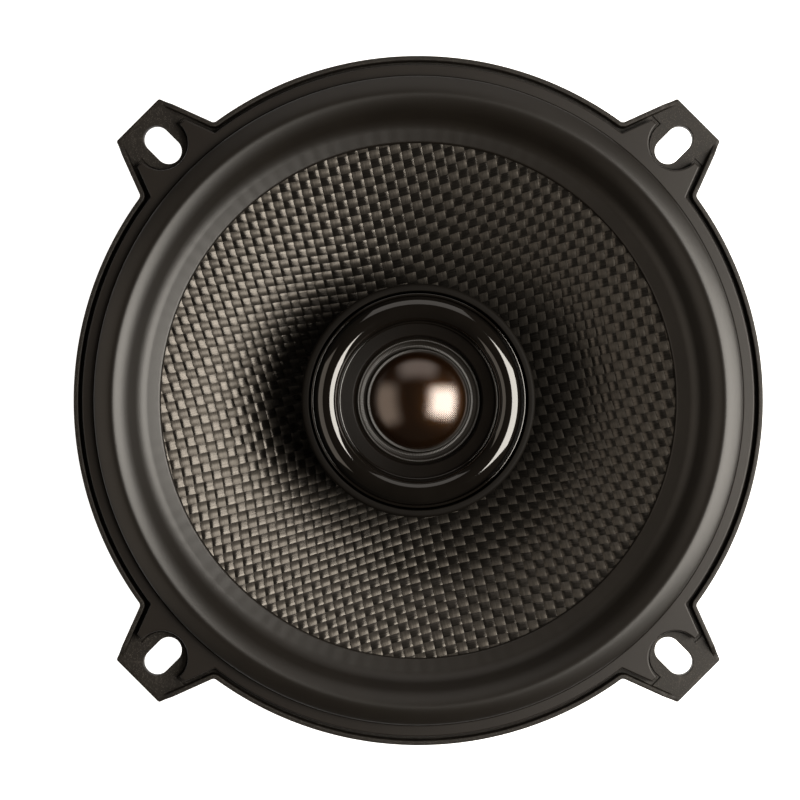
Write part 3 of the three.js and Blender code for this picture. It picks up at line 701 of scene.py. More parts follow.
def half_ear(inset, steps=(5, 6, 16, 8, 40), fillet=None):
    """From the middle of an ear's end edge, its axis along +X, to the middle of the arc after it."""
    corner_r = max(EAR_CORNER_R - inset, 0.03)
    cx = EAR_TIP - inset - corner_r
    cy = (REACH - inset - corner_r - NORMAL[0] * cx) / NORMAL[1]
    fillet_r = EAR_FILLET_R + inset if fillet is None else fillet
    side = REACH - inset + fillet_r
    centre = NORMAL * side + ALONG_EAR * math.sqrt((FLANGE_R - inset + fillet_r) ** 2 - side**2)
    line_end = centre - NORMAL * fillet_r
    inwards = -centre / np.linalg.norm(centre)
    a0 = math.atan2(-NORMAL[1], -NORMAL[0])
    a1 = math.atan2(inwards[1], inwards[0])
    corner = arc(cx, cy, corner_r, 0, math.pi / 2 - EAR_FLARE, steps[1])
    edge = np.linspace([EAR_TIP - inset, 0], corner[0], steps[0], endpoint=False)
    line = np.linspace(corner[-1], line_end, steps[2], endpoint=False)[1:]
    root = arc(*centre, fillet_r, a0, a1, steps[3])
    start = math.atan2(root[-1][1], root[-1][0])
    rim = arc(0, 0, FLANGE_R - inset, start, math.pi / 4, steps[4])[1:]
    return np.concatenate([edge, corner, line, root, rim])


def all_round(first):
    """Mirrors half an ear and repeats it at the four ears."""
    quarter = np.concatenate([first, first[::-1][1:-1][:, ::-1]])
    return np.concatenate([turn(quarter, a) for a in EAR_ANGLES])


def lip_share():
    """1 where the lip stands at full height, 0 along the ears' end edges."""
    points = half_ear(0.0)
    share = np.clip((EAR_TIP - 0.9 - points[:, 0]) / 2.2, 0, 1)
    share = share * share * (3 - 2 * share)
    quarter = np.concatenate([share, share[::-1][1:-1]])
    return np.tile(quarter, 4)


def slot_loop(angle, grow=0.0):
    half = SLOT_HALF + grow
    outer = arc(SLOT_AT + SLOT_STRAIGHT, 0, half, -math.pi / 2, math.pi / 2, 20)
    inner = arc(SLOT_AT - SLOT_STRAIGHT, 0, half, math.pi / 2, 1.5 * math.pi, 20)
    return turn(np.concatenate([outer, inner]), angle)


def seat_half(x):
    """Half the width of the raised seat inside the lip of an ear."""
    return EAR_TIP_HALF + math.tan(EAR_FLARE) * (EAR_TIP - x) - 0.95 / math.cos(EAR_FLARE)


def build_flange():
    body = Mesh()
    lip = filleted(
        [
            (0.45, FLANGE_BACK), (0.0, FLANGE_BACK, 0.4), (0.0, LIP_TOP, 0.2), (0.85, LIP_TOP, 0.16),
            (0.95, POCKET_Z, 0.16), (1.4, POCKET_Z),
        ],
        closed=False,
    )
    share = lip_share()
    edge_r = 0.3
    loops = []
    for inset, z in lip:
        heights = np.full(len(share), z)
        if z > POCKET_Z - 0.5:
            drop = edge_r - math.sqrt(max(edge_r**2 - max(edge_r - inset, 0) ** 2, 0))
            heights = share * z + (1 - share) * (SEAT_Z - 0.02 - drop)
        loops.append(np.column_stack([all_round(half_ear(inset)), heights]))
    body.band(loops)
    top_z = loops[-1][:, 2]
    throat = circle(0, 0, THROAT_R, ROUND)
    wide_slots = [slot_loop(a, 0.5) for a in EAR_ANGLES]
    body.cap(loops[-1][:, :2], [throat, *wide_slots], [top_z, POCKET_Z, *[POCKET_Z] * 4], True)
    under = circle(0, 0, 58.4, ROUND)
    slots = [slot_loop(a, 0.25) for a in EAR_ANGLES]
    body.cap(loops[0][:, :2], [under, *slots], [FLANGE_BACK] * 6, False)
    for angle in EAR_ANGLES:
        disc = arc(SLOT_AT, 0, 4.7, math.radians(78), math.radians(282), 40)
        start, end = 69.4, EAR_TIP - 0.6
        near, far = seat_half(start), seat_half(end)
        wedge = np.array([[start, -near], [end, -far], [end, far], [start, near]])
        seat = turn(np.concatenate([disc, wedge]), angle)
        body.plate(seat, [slot_loop(angle)], FLANGE_BACK - 0.01, SEAT_Z, 0.14)
    return body.make("basket_flange", 30)


# ---- basket bowl: turned shell with four windows, its cast edges rounded ----
def build_bowl():
    made = lathed(
        "basket_bowl",
        [
            (19, 25.9), (38.6, 25.9, 1), (40.5, 27.9, 1), (40.5, 34, 3), (47, 39.5, 5), (54.5, 46, 5), (58.8, 51, 3),
            (58.8, 57.3), (THROAT_R, 57.3), (THROAT_R, 51.6, 3), (53.2, 47, 5), (45.8, 40.8, 5), (38.9, 35, 1),
            (36.8, 34.9, 0.3), (36.8, 32.7, 0.3), (33, 32.7, 0.3), (33, 31.4, 0.3), (37.2, 31.4, 0.3),
            (37.2, 28.9, 0.6), (19, 28.9),
        ],
        steps=6,
    )
    cutters = []
    for k in range(4):
        half = [(20, 34), (23, 37), (34, 47.5), (31, 50.5)]
        outline = filleted([(y, z, 3.0) for y, z in half] + [(-y, z, 3.0) for y, z in half[::-1]], steps=6)
        cutter = Mesh()
        n = len(outline)
        near = np.column_stack([np.full(n, 34.0), outline])
        far = np.column_stack([np.full(n, 70.0), outline])
        walls = [(i, (i + 1) % n, n + (i + 1) % n, n + i) for i in range(n)]
        cutter.add(np.concatenate([near, far]), walls + [tuple(range(n))[::-1], tuple(range(n, 2 * n))])
        cutter.changed(lambda p, a=k * math.pi / 2: np.column_stack([turn(p[:, :2], a), p[:, 2]]))
        cutters.append(cutter.make(f"window_{k}"))
    for angle in EAR_ANGLES:
        centre = (SCREW_CIRCLE_R * math.cos(angle), SCREW_CIRCLE_R * math.sin(angle))
        cutters.append(lathed("hole", [(0, 24), (2.3, 24), (2.3, 32), (0, 32)], 32, centre=centre))
    bosses = []
    for side in (-1, 1):
        boss = Mesh()
        x = side * PANEL_SCREW_X
        boss.box((x - 2.8, x + 2.8), (-42.1, -36.5), (27.9, 34.6))
        bosses.append(boss.make("boss"))
    baked(made, *booleans("UNION", bosses), *booleans("DIFFERENCE", cutters))
    baked(made, ("REMESH", {"mode": "VOXEL", "voxel_size": 0.5 * MM}), ("SMOOTH", {"factor": 0.5, "iterations": 6}))
    discard(cutters + bosses)
    made.data.polygons.foreach_set("use_smooth", [True] * len(made.data.polygons))
    return made


place(build_flange(), "frame", POWDER, ["basket"])
place(build_bowl(), "frame", POWDER)

# ---- front gasket ----
GASKET_TOP = 60.2
GASKET_INSET = 1.75
GASKET_INNER_R = 61.0
RELIEF_R = 62.95  # the relief for the rim reaches out to here
RELIEF_TOP = 58.65  # the underside is relieved up to here over the surround's rim


def gasket_loop(inset):
    """The flange outline drawn in, with each tongue cut by the circle round its screw."""
    first = half_ear(inset, steps=(5, 6, 40, 6, 60), fillet=0.3)
    across = 68.5
    cut_r = 5.0
    side = first[(first[:, 0] < across) | (first[:, 1] > EAR_TIP_HALF + 6)]
    y_end = (REACH - inset - NORMAL[0] * across) / NORMAL[1]
    end = np.linspace([across, cut_r + 0.02], [across, y_end], 5)
    cut = arc(SLOT_AT, 0, cut_r, math.pi, math.pi / 2, 24)
    return all_round(np.concatenate([cut[:-1], end, side]))


def build_gasket():
    body = Mesh()
    outline = gasket_loop(GASKET_INSET)
    edge_r, base = 0.3, 57.95
    turns = np.linspace(0, math.pi / 2, 5)
    rounded = [(edge_r * (1 - math.sin(t)), edge_r * (1 - math.cos(t))) for t in turns]
    outer = [at_height(outline, base)] + [at_height(offset(outline, i), GASKET_TOP - d) for i, d in rounded[::-1]]
    body.band(outer)
    inner = [(GASKET_INNER_R + i, GASKET_TOP - d) for i, d in rounded]
    inner += [(GASKET_INNER_R, RELIEF_TOP), (RELIEF_R, RELIEF_TOP), (RELIEF_R, base)]
    body.band([at_height(circle(0, 0, r, ROUND), z) for r, z in inner])
    body.cap(outer[-1][:, :2], [circle(0, 0, inner[0][0], ROUND)], [GASKET_TOP] * 2, True)
    body.cap(outline, [circle(0, 0, RELIEF_R, ROUND)], [base] * 2, False)
    return body.make("gasket", 30)


place(build_gasket(), "frame", GASKET, ["front_gasket"])


# ---- surround, from its clamped rim to its lap on the cone ----
def radial_blend(made):
    """Bakes a round piece's placement into its mesh; its points are read but not changed."""
    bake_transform(made)
    flat = np.zeros(3 * len(made.data.vertices))
    made.data.vertices.foreach_get("co", flat)
    return made


ROLL_OUTER_R = 60.9
ROLL_SLOPES = [  # radius, and the slope there in degrees: a steep rise from the cone, then a flatter fall
    (51.2, 18), (51.6, 25), (52.4, 37), (53.4, 50), (54.4, 49), (55.6, 37), (56.5, 28), (57.0, 20), (57.35, 7),
    (57.6, -5), (58.2, -14), (59.0, -20), (60.0, -25), (60.6, -31), (ROLL_OUTER_R, -55),
]
SURROUND_TOP = 58.6
SKIN = 0.6
LAP_LIFT = 0.12  # the lap on the cone lies this far over the cone's own front


def lap(r, lift):
    return cone_front(r) + LAP_LIFT + lift


def build_surround():
    r = np.linspace(ROLL_SLOPES[0][0], ROLL_OUTER_R, 90)
    slope = np.radians(np.interp(r, *np.array(ROLL_SLOPES).T))
    rise = np.concatenate([[0], np.cumsum(np.diff(r) * np.tan((slope[1:] + slope[:-1]) / 2))])
    z = lap(r[0], 0.45) + rise
    depth = np.minimum(SKIN, 0.4 + (r - r[0]) * 0.4)
    front = list(zip(r, z))
    back = list(zip(r + depth * np.sin(slope), z - depth * np.cos(slope)))
    flange = [(r, lap(r, 0.45)) for r in np.linspace(ROLL_SLOPES[0][0] - 0.2, 49.1, 14)]
    profile = [(62.8, 58.0), (62.8, SURROUND_TOP), (ROLL_OUTER_R, SURROUND_TOP), *front[::-1], *flange]
    profile += [(48.85, lap(48.85, 0.3)), (48.8, lap(48.8, 0.0)), *back, (ROLL_OUTER_R - SKIN, 58.0)]
    body = Mesh()
    body.lathe(profile, 2 * ROUND)

    def rippled(p):
        """Shallow creases run out from the glued edge and die away up the roll."""
        r = np.hypot(p[:, 0], p[:, 1])
        angle = np.arctan2(p[:, 1], p[:, 0])
        near = np.clip((53.4 - r) / 2.5, 0, 1) * np.clip((r - 48.9) / 0.5, 0, 1)
        wave = np.cos(110 * angle + 0.7 * np.sin(9 * angle)) * (0.7 + 0.3 * np.sin(23 * angle))
        q = p.copy()
        q[:, 2] += 0.014 * near * wave
        return q

    return body.changed(rippled).make("surround_roll", 50)


surround = place(build_surround(), None, SURROUND, ["surround"])
radial_blend(surround)

# ---- cone: dark resin backing with real warp and weft tows on its front ----
CONE_STOPS = np.linspace(52, CONE_NECK_R, 16)
backing = lathed(
    "cone_backing",
    [
        *[(r, cone_front(r) - 0.3) for r in CONE_STOPS[:-1]], (CONE_NECK_R, cone_front(CONE_NECK_R) - 0.3, 0.4),
        (12.9, 36.6, 0.3), (12.9, 34.9), (CONE_NECK_R, 34.9), (CONE_NECK_R, 36.2, 0.4),
        *[(r, cone_front(r) - 0.9) for r in CONE_STOPS[-2::-1]],
    ],
    steps=4,
)
place(backing, "cone_assembly", RESIN, ["cone"])

WEAVE_TURN = math.radians(12.5)
PITCH_U, PITCH_V = 2.03, 1.82  # spacing of the crossings along the two tow directions
SHEAR = 0.15  # how far pressing into a cone has squeezed the weave along its slope
HALF_TOW = 0.485  # half the width of a tow, in crossings
WEFT_LIFT = 0.11  # half the height a tow rises and falls; the warp is crimped more than the weft
WARP_LIFT = 0.2
WEFT_FLAT = 1.3  # how far the weft's crests are flattened
TOW_CROWN = 0.03  # how far the middle of a tow stands over its edges
TOW_SINK = 0.12  # how far the weave's middle lies under the cone's front


def weave_plan(s, t):
    """Place in the cone's plan of the point that lies s and t crossings along the two tow directions."""
    x, y = s * PITCH_U, t * PITCH_V
    for _ in range(6):
        r2 = np.maximum(x * x + y * y, 1e-9)
        x = s * PITCH_U / (1 + SHEAR * x * x / r2)
        y = t * PITCH_V / (1 + SHEAR * y * y / r2)
    cos, sin = math.cos(WEAVE_TURN), math.sin(WEAVE_TURN)
    return x * cos - y * sin, x * sin + y * cos


def build_tows(name, along_u, inner, outer):
    """The raised crossings of one set of tows; each dips under its neighbours at both ends."""
    reach = int(outer / min(PITCH_U, PITCH_V) * 1.2) + 2
    i, j = np.meshgrid(np.arange(-reach, reach + 1), np.arange(-reach, reach + 1), indexing="ij")
    up = (i + j) % 2 == (0 if along_u else 1)
    ci, cj = i[up].astype(float), j[up].astype(float)
    x, y = weave_plan(ci, cj)
    r = np.hypot(x, y)
    keep = (r > inner) & (r < outer)
    ci, cj = ci[keep], cj[keep]
    lengthwise = np.linspace(-0.66, 0.66, 9)
    crosswise = np.linspace(-HALF_TOW, HALF_TOW, 7)
    a, b = np.meshgrid(lengthwise, crosswise, indexing="ij")
    crest = np.cos(math.pi * a)
    rise = WEFT_LIFT * np.tanh(WEFT_FLAT * crest) / math.tanh(WEFT_FLAT) if along_u else WARP_LIFT * crest
    wave = rise + TOW_CROWN * (1 - (b / HALF_TOW) ** 2)
    wave[:, [0, -1]] -= 0.05
    ds, dt = (a, b) if along_u else (b, a)
    s = ci[:, None, None] + ds
    t = cj[:, None, None] + dt
    x, y = weave_plan(s, t)
    r = np.hypot(x, y)
    z = cone_front(np.maximum(r, 1)) - TOW_SINK + wave[None] / math.cos(CONE_TILT)
    points = np.stack([x, y, z], -1)
    n, la, lb = r.shape
    flat = points.reshape(-1, 3)
    corner = np.arange(n * la * lb).reshape(n, la, lb)
    quads = np.stack([corner[:, :-1, :-1], corner[:, 1:, :-1], corner[:, 1:, 1:], corner[:, :-1, 1:]], -1)
    quads = quads.reshape(-1, 4) if along_u else quads.reshape(-1, 4)[:, ::-1]
    made = add_mesh(name, flat, quads.tolist(), 60)
    pitch = (PITCH_U, PITCH_V) if along_u else (PITCH_V, PITCH_U)
    rng = np.random.default_rng(5 if along_u else 6)
    shift = rng.uniform(0, 60, (n, 1, 1))
    lane = (cj if along_u else ci)[:, None, None] * 2.7
    run = (a[None] * pitch[0] + shift) * MM
    side = (b[None] * pitch[1] + lane) * MM
    uv = np.stack([np.broadcast_to(side, r.shape), np.broadcast_to(run, r.shape)], -1).reshape(-1, 2)
    layer = made.data.uv_layers.new(name="UVMap")
    index = np.zeros(len(made.data.loops), np.int32)
    made.data.loops.foreach_get("vertex_index", index)
    layer.data.foreach_set("uv", uv[index].astype(np.float32).ravel())
    return made


for tow_name, tow_u, tow_look in (("cone_tows_across", True, WEFT), ("cone_tows_along", False, WARP)):
    place(build_tows(tow_name, tow_u, 12.9, 50.3), "cone_assembly", tow_look)

# ---- voice coil and spider ----
former = lathed("coil_former", [(12.3, 16.5), (12.6, 16.5), (12.6, 37.5), (12.3, 37.5)], SMALL_ROUND)
place(former, "cone_assembly", FILM, ["voice_coil_former"])


def wound(inner, outer, bottom, top, turns):
    """A coil's outside as a row of round turns."""
    points = [(inner, bottom)]
    step = (top - bottom) / turns
    for k in range(turns):
        for phase in (0.0, 0.25, 0.5, 0.75):
            bulge = math.sin(math.pi * phase)
            points.append((outer - step * 0.35 + step * 0.35 * bulge, bottom + step * (k + phase)))
    return points + [(outer - step * 0.35, top), (inner, top)]


winding = lathed("coil_winding", wound(12.65, 13.35, 17, 29.2, 40), COIL_ROUND)
place(winding, "cone_assembly", COPPER, ["voice_coil_winding"])


def build_spider():
    r = np.linspace(36.4, 13.0, 180)
    wavy = np.clip((34.0 - r) / 1.2, 0, 1) * np.clip((r - 14.4) / 1.2, 0, 1)
    z = 33.05 + 0.75 * wavy * (1 - np.cos((34.0 - r) * FULL / 3.0))
    top = list(zip(r, z + 0.28))
    bottom = list(zip(r[::-1], z[::-1]))
    neck = [(13.0, 34.6), (12.75, 34.6), (12.75, 33.0)]
    body = Mesh()
    body.lathe([*top, *neck, *bottom[1:]], ROUND)
    return body.make("spider_disc", 60)


spider = place(build_spider(), None, SPIDER, ["spider"])
radial_blend(spider)


# ---- tinsel leads ----
def build_tinsel(side):
    route = [(4, -14.4, 35.6), (6, -22, 36.8), (8, -31, 39.2), (9, -37.5, 40.4), (9, -40.9, 40.0)]
    path = smooth_path([(side * x, y, z) for x, y, z in route], 150)
    body = Mesh()
    run = np.concatenate([[0], np.cumsum(np.linalg.norm(np.diff(path, axis=0), axis=1))])
    along = np.gradient(path, axis=0)
    along /= np.linalg.norm(along, axis=1, keepdims=True)
    one = np.cross(along, [0.0, 0.0, 1.0])
    one /= np.linalg.norm(one, axis=1, keepdims=True)
    two = np.cross(along, one)
    for way in (1, -1):
        for k in range(4):
            a = way * FULL * run / 3.4 + k * FULL / 4
            lift = 0.5 + 0.07 * np.sin(4 * FULL * run / 3.4 + way * math.pi / 2)
            strand = path + one * (lift * np.cos(a))[:, None] + two * (lift * np.sin(a))[:, None]
            body.tube(strand, 0.21, 6)
    body.tube(path, 0.36, 8)
    return body.make(f"tinsel_{'positive' if side > 0 else 'negative'}", 60)


for side, sign in ((1, "positive"), (-1, "negative")):
    tinsel = place(build_tinsel(side), None, TINSEL, [f"tinsel_lead_{sign}"])
    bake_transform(tinsel)


# ---- motor ----
def build_yoke():
    made = lathed(
        "yoke_plate",
        [
            (3.3, 7.5), (6.3, 7.5, 0.2), (6.3, 0, 0.4), (37.5, 0, 0.9), (37.5, 5, 0.5), (12, 5, 0.8), (12, 25.6, 0.5),
            (3.3, 25.6, 0.2),
        ],
        smooth=30,
    )
    groove = Mesh()
    groove.box((-1.7, 1.7), (-39, 0), (-1, 2.6))
    cutters = [groove.make("groove")]
    baked(made, *booleans("DIFFERENCE", cutters))
    discard(cutters)
    made.data.set_sharp_from_angle(angle=math.radians(30))
    return made


place(build_yoke(), "frame", ZINC, ["yoke"])
magnet = lathed("magnet", [(18, 5.1, 0.6), (40, 5.1, 1.1), (40, 20.45, 1.1), (18, 20.45, 0.6)])
place(magnet, "frame", FERRITE, ["magnet_ring"])
plate = lathed("front_plate", [(13.75, 20.5, 0.3), (37.5, 20.5, 0.5), (37.5, 25.75, 0.5), (13.75, 25.75, 0.3)])
place(plate, "frame", ZINC, ["top_plate"])


def cross_head(name, radius, height, drive_r, shank_r, shank):
    """A pan-head screw along +Z whose head seats at z = 0, with a cross recess."""
    made = lathed(
        name,
        [
            (0, -shank), (shank_r, -shank), (shank_r, 0), (radius, 0, 0.15), (radius, height * 0.6, 0.5 * height),
            (0, height),
        ],
        40,
        closed=False,
        steps=6,
        smooth=35,
    )
    cutters = []
    for turned_by in (0, math.pi / 2):
        arm = Mesh()
        w, d = drive_r * 0.26, height * 0.62
        top = [(-drive_r, -w), (drive_r, -w), (drive_r, w), (-drive_r, w)]
        points = [(x * 0.55, y * 0.8, height - d) for x, y in top] + [(x, y, height + 0.3) for x, y in top]
        arm.add(points, [(3, 2, 1, 0), (4, 5, 6, 7), (0, 1, 5, 4), (1, 2, 6, 5), (2, 3, 7, 6), (3, 0, 4, 7)])
        arm.changed(lambda p, a=turned_by: np.column_stack([turn(p[:, :2], a), p[:, 2]]))
        cutters.append(arm.make("arm"))
    baked(made, *booleans("DIFFERENCE", cutters))
    discard(cutters)
    made.data.set_sharp_from_angle(angle=math.radians(35))
    return made


def moved(made, function):
    """Moves a mesh's own points, so that the object stays at the origin."""
    flat = np.zeros(3 * len(made.data.vertices))
    made.data.vertices.foreach_get("co", flat)
    made.data.vertices.foreach_set("co", (function(flat.reshape(-1, 3) / MM) * MM).ravel())
    made.data.update()
    return made


def facing_back(x, y, z):
    """Turns +Z to -Y and carries the origin to a point."""
    return lambda p: np.column_stack([p[:, 0] + x, -p[:, 2] + y, p[:, 1] + z])


for k, angle in enumerate(EAR_ANGLES):
    screw = cross_head(f"frame_screw_{k + 1}", 3.4, 1.9, 2.1, 1.95, 7.2)
    seat = np.array([SCREW_CIRCLE_R * math.cos(angle), SCREW_CIRCLE_R * math.sin(angle), 29.0])
    moved(screw, lambda p, at=seat: p + at)
    place(screw, "frame", STEEL, [f"motor_screw_{k + 1}"])


# ---- terminal board, blades, rivets and the crossover capacitor ----
board = Mesh()
board_holes = [circle(s * PANEL_SCREW_X, 31, 1.5, 24) for s in (-1, 1)]
board_holes += [circle(s * BLADE_X, 39.5, 1.3, 24) for s in (-1, 1)]
board_outline = [(-15, 28.5, 1.5), (15, 28.5, 1.5), (15, 46.3, 1.5), (-15, 46.3, 1.5)]
board.plate(filleted(board_outline), board_holes, 0, 1.6, 0.12)
board.changed(lambda p: np.column_stack([-p[:, 0], -42.4 - p[:, 2], p[:, 1]]))
place(board.make("terminal_panel", 30), "frame", BOARD, ["terminal_board"])

for side, sign in ((1, "positive"), (-1, "negative")):
    x = side * BLADE_X
    half = 2.4 if side > 0 else 1.4  # the positive blade is the wide one
    left, right = x - half, x + half
    outline = [(left, -44.4), (left, -53.7), (left + 0.9, -54.9), (right - 0.9, -54.9), (right, -53.7), (right, -44.4)]
    blade = Mesh()
    blade.plate(np.array(outline), [circle(x, -51.6, 0.75, 20)], 34.5, 35.3, 0.1)
    foot_outline = [(x - 2.4, 34.5, 0.1), (x + 2.4, 34.5, 0.1), (x + 2.4, 42, 0.9), (x - 2.4, 42, 0.9)]
    foot = Mesh()
    foot.plate(filleted(foot_outline, steps=4), [circle(x, 39.5, 1.2, 24)], 0, 0.8, 0.1)
    foot.changed(lambda p, x=x: np.column_stack([2 * x - p[:, 0], -44.15 - p[:, 2], p[:, 1]]))
    blade.add(np.concatenate(foot.points), foot.faces)
    place(blade.make(f"blade_{sign}", 30), "frame", TIN, [f"terminal_blade_{sign}"])

    rivet = Mesh()
    rivet.lathe(
        filleted(
            [
                (0, -3.8), (2, -3.8, 0.3), (2, -3.0, 0.2), (0.95, -3.0), (0.95, 0.1), (2, 0.1, 0.15), (1.9, 0.9, 0.5),
                (0.8, 1.1, 0.2), (0.6, 0.5, 0.1), (0, 0.5),
            ],
            closed=False,
            steps=4,
        ),
        TINY_ROUND,
    )
    rivet.changed(facing_back(x, -45.0, 39.5))
    place(rivet.make(f"rivet_{sign}", 35), "frame", BRASS, [f"terminal_rivet_{sign}"])

    where = "right" if side > 0 else "left"
    screw = cross_head(f"panel_screw_{where}", 2.2, 1.5, 1.35, 1.15, 5.8)
    moved(screw, facing_back(side * PANEL_SCREW_X, -44.05, 31))
    place(screw, "frame", STEEL, [f"board_screw_{where}"])

capacitor = lathed(
    "capacitor",
    [
        (0, 31.7), (2.7, 31.7, 0.2), (2.9, 31.45, 0.2), (4, 31.5, 0.5), (4, 42.6, 0.5), (3.8, 42.9, 0.3),
        (4, 43.2, 0.3), (4, 44, 0.5), (2.9, 44.05, 0.2), (2.7, 43.8, 0.2), (0, 43.8),
    ],
    96,
    closed=False,
    steps=4,
    centre=(0, CAPACITOR_Y),
)
place(capacitor, "frame", SLEEVE, ["crossover_capacitor"])
for name, (near, far) in {"top": (43.7, 45.4), "bottom": (31.8, 30.1)}.items():
    lead = Mesh()
    route = [(0, CAPACITOR_Y, near), (0, -48.4, (near + 2 * far) / 3), (0, -47.2, far), (0, -43.9, far)]
    lead.tube(smooth_path(route, 40), 0.35, 16)
    place(lead.make(f"capacitor_wire_{name}", 50), "frame", TIN, [f"capacitor_lead_{name}"])

# ---- tweeter post ----
post = lathed(
    "post",
    [
        (2.2, 3.4), (3, 3.4, 0.2), (3, 25.7), (9, 25.7, 0.3), (9, 27.4, 0.8), (6, 29, 1.2), (6, 43.4, 1.5),
        (12, 45.2, 0.8), (12, 47.4), (3, 47.4), (3, 49.5), (2.2, 49.5),
    ],
    SMALL_ROUND,
)
place(post, "frame", HOUSING, ["tweeter_post"])
washer = lathed("washer", [(3.15, 6.5, 0.1), (5.6, 6.5, 0.2), (5.6, 7.4, 0.2), (3.15, 7.4, 0.1)], SMALL_ROUND)
place(washer, "frame", ZINC, ["post_washer"])
nut = Mesh()
hexagon = circle(0, 0, 5.2, 6)
sides = [np.linspace(hexagon[k], hexagon[(k + 1) % 6], 6, endpoint=False) for k in range(6)]
nut.plate(np.concatenate(sides), [circle(0, 0, 3.05, 40)], 3.9, 6.45, 0.3, 4)
place(nut.make("nut", 30), "frame", ZINC, ["post_nut"])

for side, sign in ((1, "positive"), (-1, "negative")):
    x = side * 0.85
    route = [  # from the tweeter's coil inwards, down the post, out along the yoke's groove and up to the board
        (side * 15.6, 0, 56.4), (side * 15.6, 0, 52.4), (side * 14, 0, 50.2), (side * 8, 0, 50.25),
        (side * 2.6, 0, 50.25), (side * 1.3, 0, 49.6), (x, 0, 47.6), (x, 0, 30), (x, 0, 6), (x, -0.7, 3),
        (x, -3.2, 1.45), (x, -20, 1.4), (x, -36.5, 1.4), (x, -40.2, 2.4), (x, -41.45, 5.6), (x, -41.45, 22),
        (x, -41.45, 38.4),
    ]
    wire = Mesh()
    wire.tube(smooth_path(route, 260), 0.5, 14)
    place(
        wire.make(f"tweeter_wire_{sign}", 60),
        "frame",
        RED_WIRE if side > 0 else BLACK_WIRE,
        [f"tweeter_lead_{sign}"],
    )

# ---- tweeter ----
housing = lathed(
    "housing",
    [
        (3.1, 47.5), (19.5, 47.5, 1), (21.5, 49.2, 1.5), (22, 51, 2), (22, 61, 0.9), (20.6, 61, 0.2),
        (20.6, 49.5, 0.3), (3.1, 49.5),
    ],
    steps=6,
    smooth=30,
)
place(housing, "frame", HOUSING, ["tweeter_housing"])


def build_bezel():
    """A polished ring: rounded crest, a dark groove outside it, then a thin rim."""
    crest_r, crest_z = 17.1, 62.75

    def side(radius, a):
        return crest_r + radius * math.sin(a), crest_z - radius * (1 - math.cos(a))

    crest = [side(2.8, a) for a in np.radians(np.linspace(43, 0, 30))]
    crest += [side(2.15, a) for a in np.radians(np.linspace(0, -64, 36)[1:])]
    rim = filleted(
        [
            (14.95, 58), (20.15, 58), (20.15, 61.3, 0.2), (19.72, 61.3, 0.1), (19.55, 60.4, 0.1), (19.0, 60.4, 0.1),
            crest[0],
        ],
        closed=False,
    )
    body = Mesh()
    bead = [(14.78 + 0.2 * math.cos(a), 60.75 + 0.2 * math.sin(a)) for a in np.radians(np.linspace(20, 200, 12))]
    body.lathe([*[tuple(p) for p in rim[:-1]], *crest, (14.97, 61.2), *bead, (14.6, 60.4), (14.95, 60.4)], ROUND)
    return body.make("bezel", 40)


place(build_bezel(), "frame", GLOSS, ["tweeter_bezel"])

face = lathed(
    "face_ring",
    [
        (11.9, 58.5), (14.9, 58.5), (14.9, 60.35, 0.12), (14.6, 60.35, 0.12), (14.5, 60.12, 0.1),
        (12.25, 59.95, 0.25), (12.0, 59.3, 0.1),
    ],
    steps=4,
    smooth=40,
)
place(face, "frame", SATIN, ["tweeter_face_ring"])
cup_profile = [(0, 51), (13.5, 51, 0.6), (13.5, 57.3, 0.3), (10, 57.3, 0.3), (10, 52.6, 0.4), (0, 52.6)]
cup = lathed("magnet_cup", cup_profile, SMALL_ROUND, closed=False)
place(cup, "frame", ZINC, ["tweeter_yoke"])
slug_profile = [(0, 52.75), (7.9, 52.75, 0.3), (7.9, 55.5, 0.3), (0, 55.5)]
slug = lathed("neodymium_slug", slug_profile, SMALL_ROUND, closed=False)
place(slug, "frame", NICKEL, ["tweeter_magnet"])
pole = lathed("pole_disc", [(0, 55.6), (8.25, 55.6, 0.2), (8.25, 57.2, 0.2), (0, 57.2)], SMALL_ROUND, closed=False)
place(pole, "frame", ZINC, ["tweeter_pole_plate"])
small_former = lathed("small_coil_former", [(8.6, 53.6), (8.9, 53.6), (8.9, 58.2), (8.6, 58.2)], SMALL_ROUND)
place(small_former, "dome_assembly", FILM, ["tweeter_coil_former"])
small_winding = lathed("small_coil_winding", wound(8.95, 9.6, 55, 57.8, 16), COIL_ROUND)
place(small_winding, "dome_assembly", COPPER, ["tweeter_coil_winding"])

DOME_R, DOME_SPHERE, DOME_BACK = 9.3, 13.0, 58.3
dome_centre = DOME_BACK - math.sqrt(DOME_SPHERE**2 - DOME_R**2)
edge = math.asin(DOME_R / DOME_SPHERE)
outer_cap = [(DOME_SPHERE * math.sin(a), dome_centre + DOME_SPHERE * math.cos(a)) for a in np.linspace(edge, 0, 60)]
inner_r = DOME_SPHERE - 0.35
inner_cap = [(inner_r * math.sin(a), dome_centre + inner_r * math.cos(a)) for a in np.linspace(0, edge, 30)]
dome_profile = [(0, dome_centre + inner_r), *inner_cap[1:], *outer_cap[:-1], (0, dome_centre + DOME_SPHERE)]
dome = lathed("dome", dome_profile, SMALL_ROUND, smooth=60)
place(dome, "dome_assembly", DOME, ["tweeter_dome"])

tweeter_edge = lathed(
    "dome_surround",
    [
        (9.2, 58.1), (9.9, 57.7, 0.3), (10.7, 57.65, 0.4), (11.2, 58.1, 0.3), (13.2, 58.1), (13.2, 58.4),
        (11.9, 58.45, 0.2), (11.35, 58.8, 0.25), (10.95, 58.35, 0.25), (10.4, 58.0, 0.3), (9.95, 58.1, 0.2),
        (9.65, 58.6, 0.15), (9.2, 58.4),
    ],
    smooth=50,
)
place(tweeter_edge, None, EDGE_CLOTH, ["tweeter_surround"])
radial_blend(tweeter_edge)


# ---- stage ----
FLANGE_HEIGHT = SEAT_Z * MM  # the camera and the lights are set out from the flange's plane


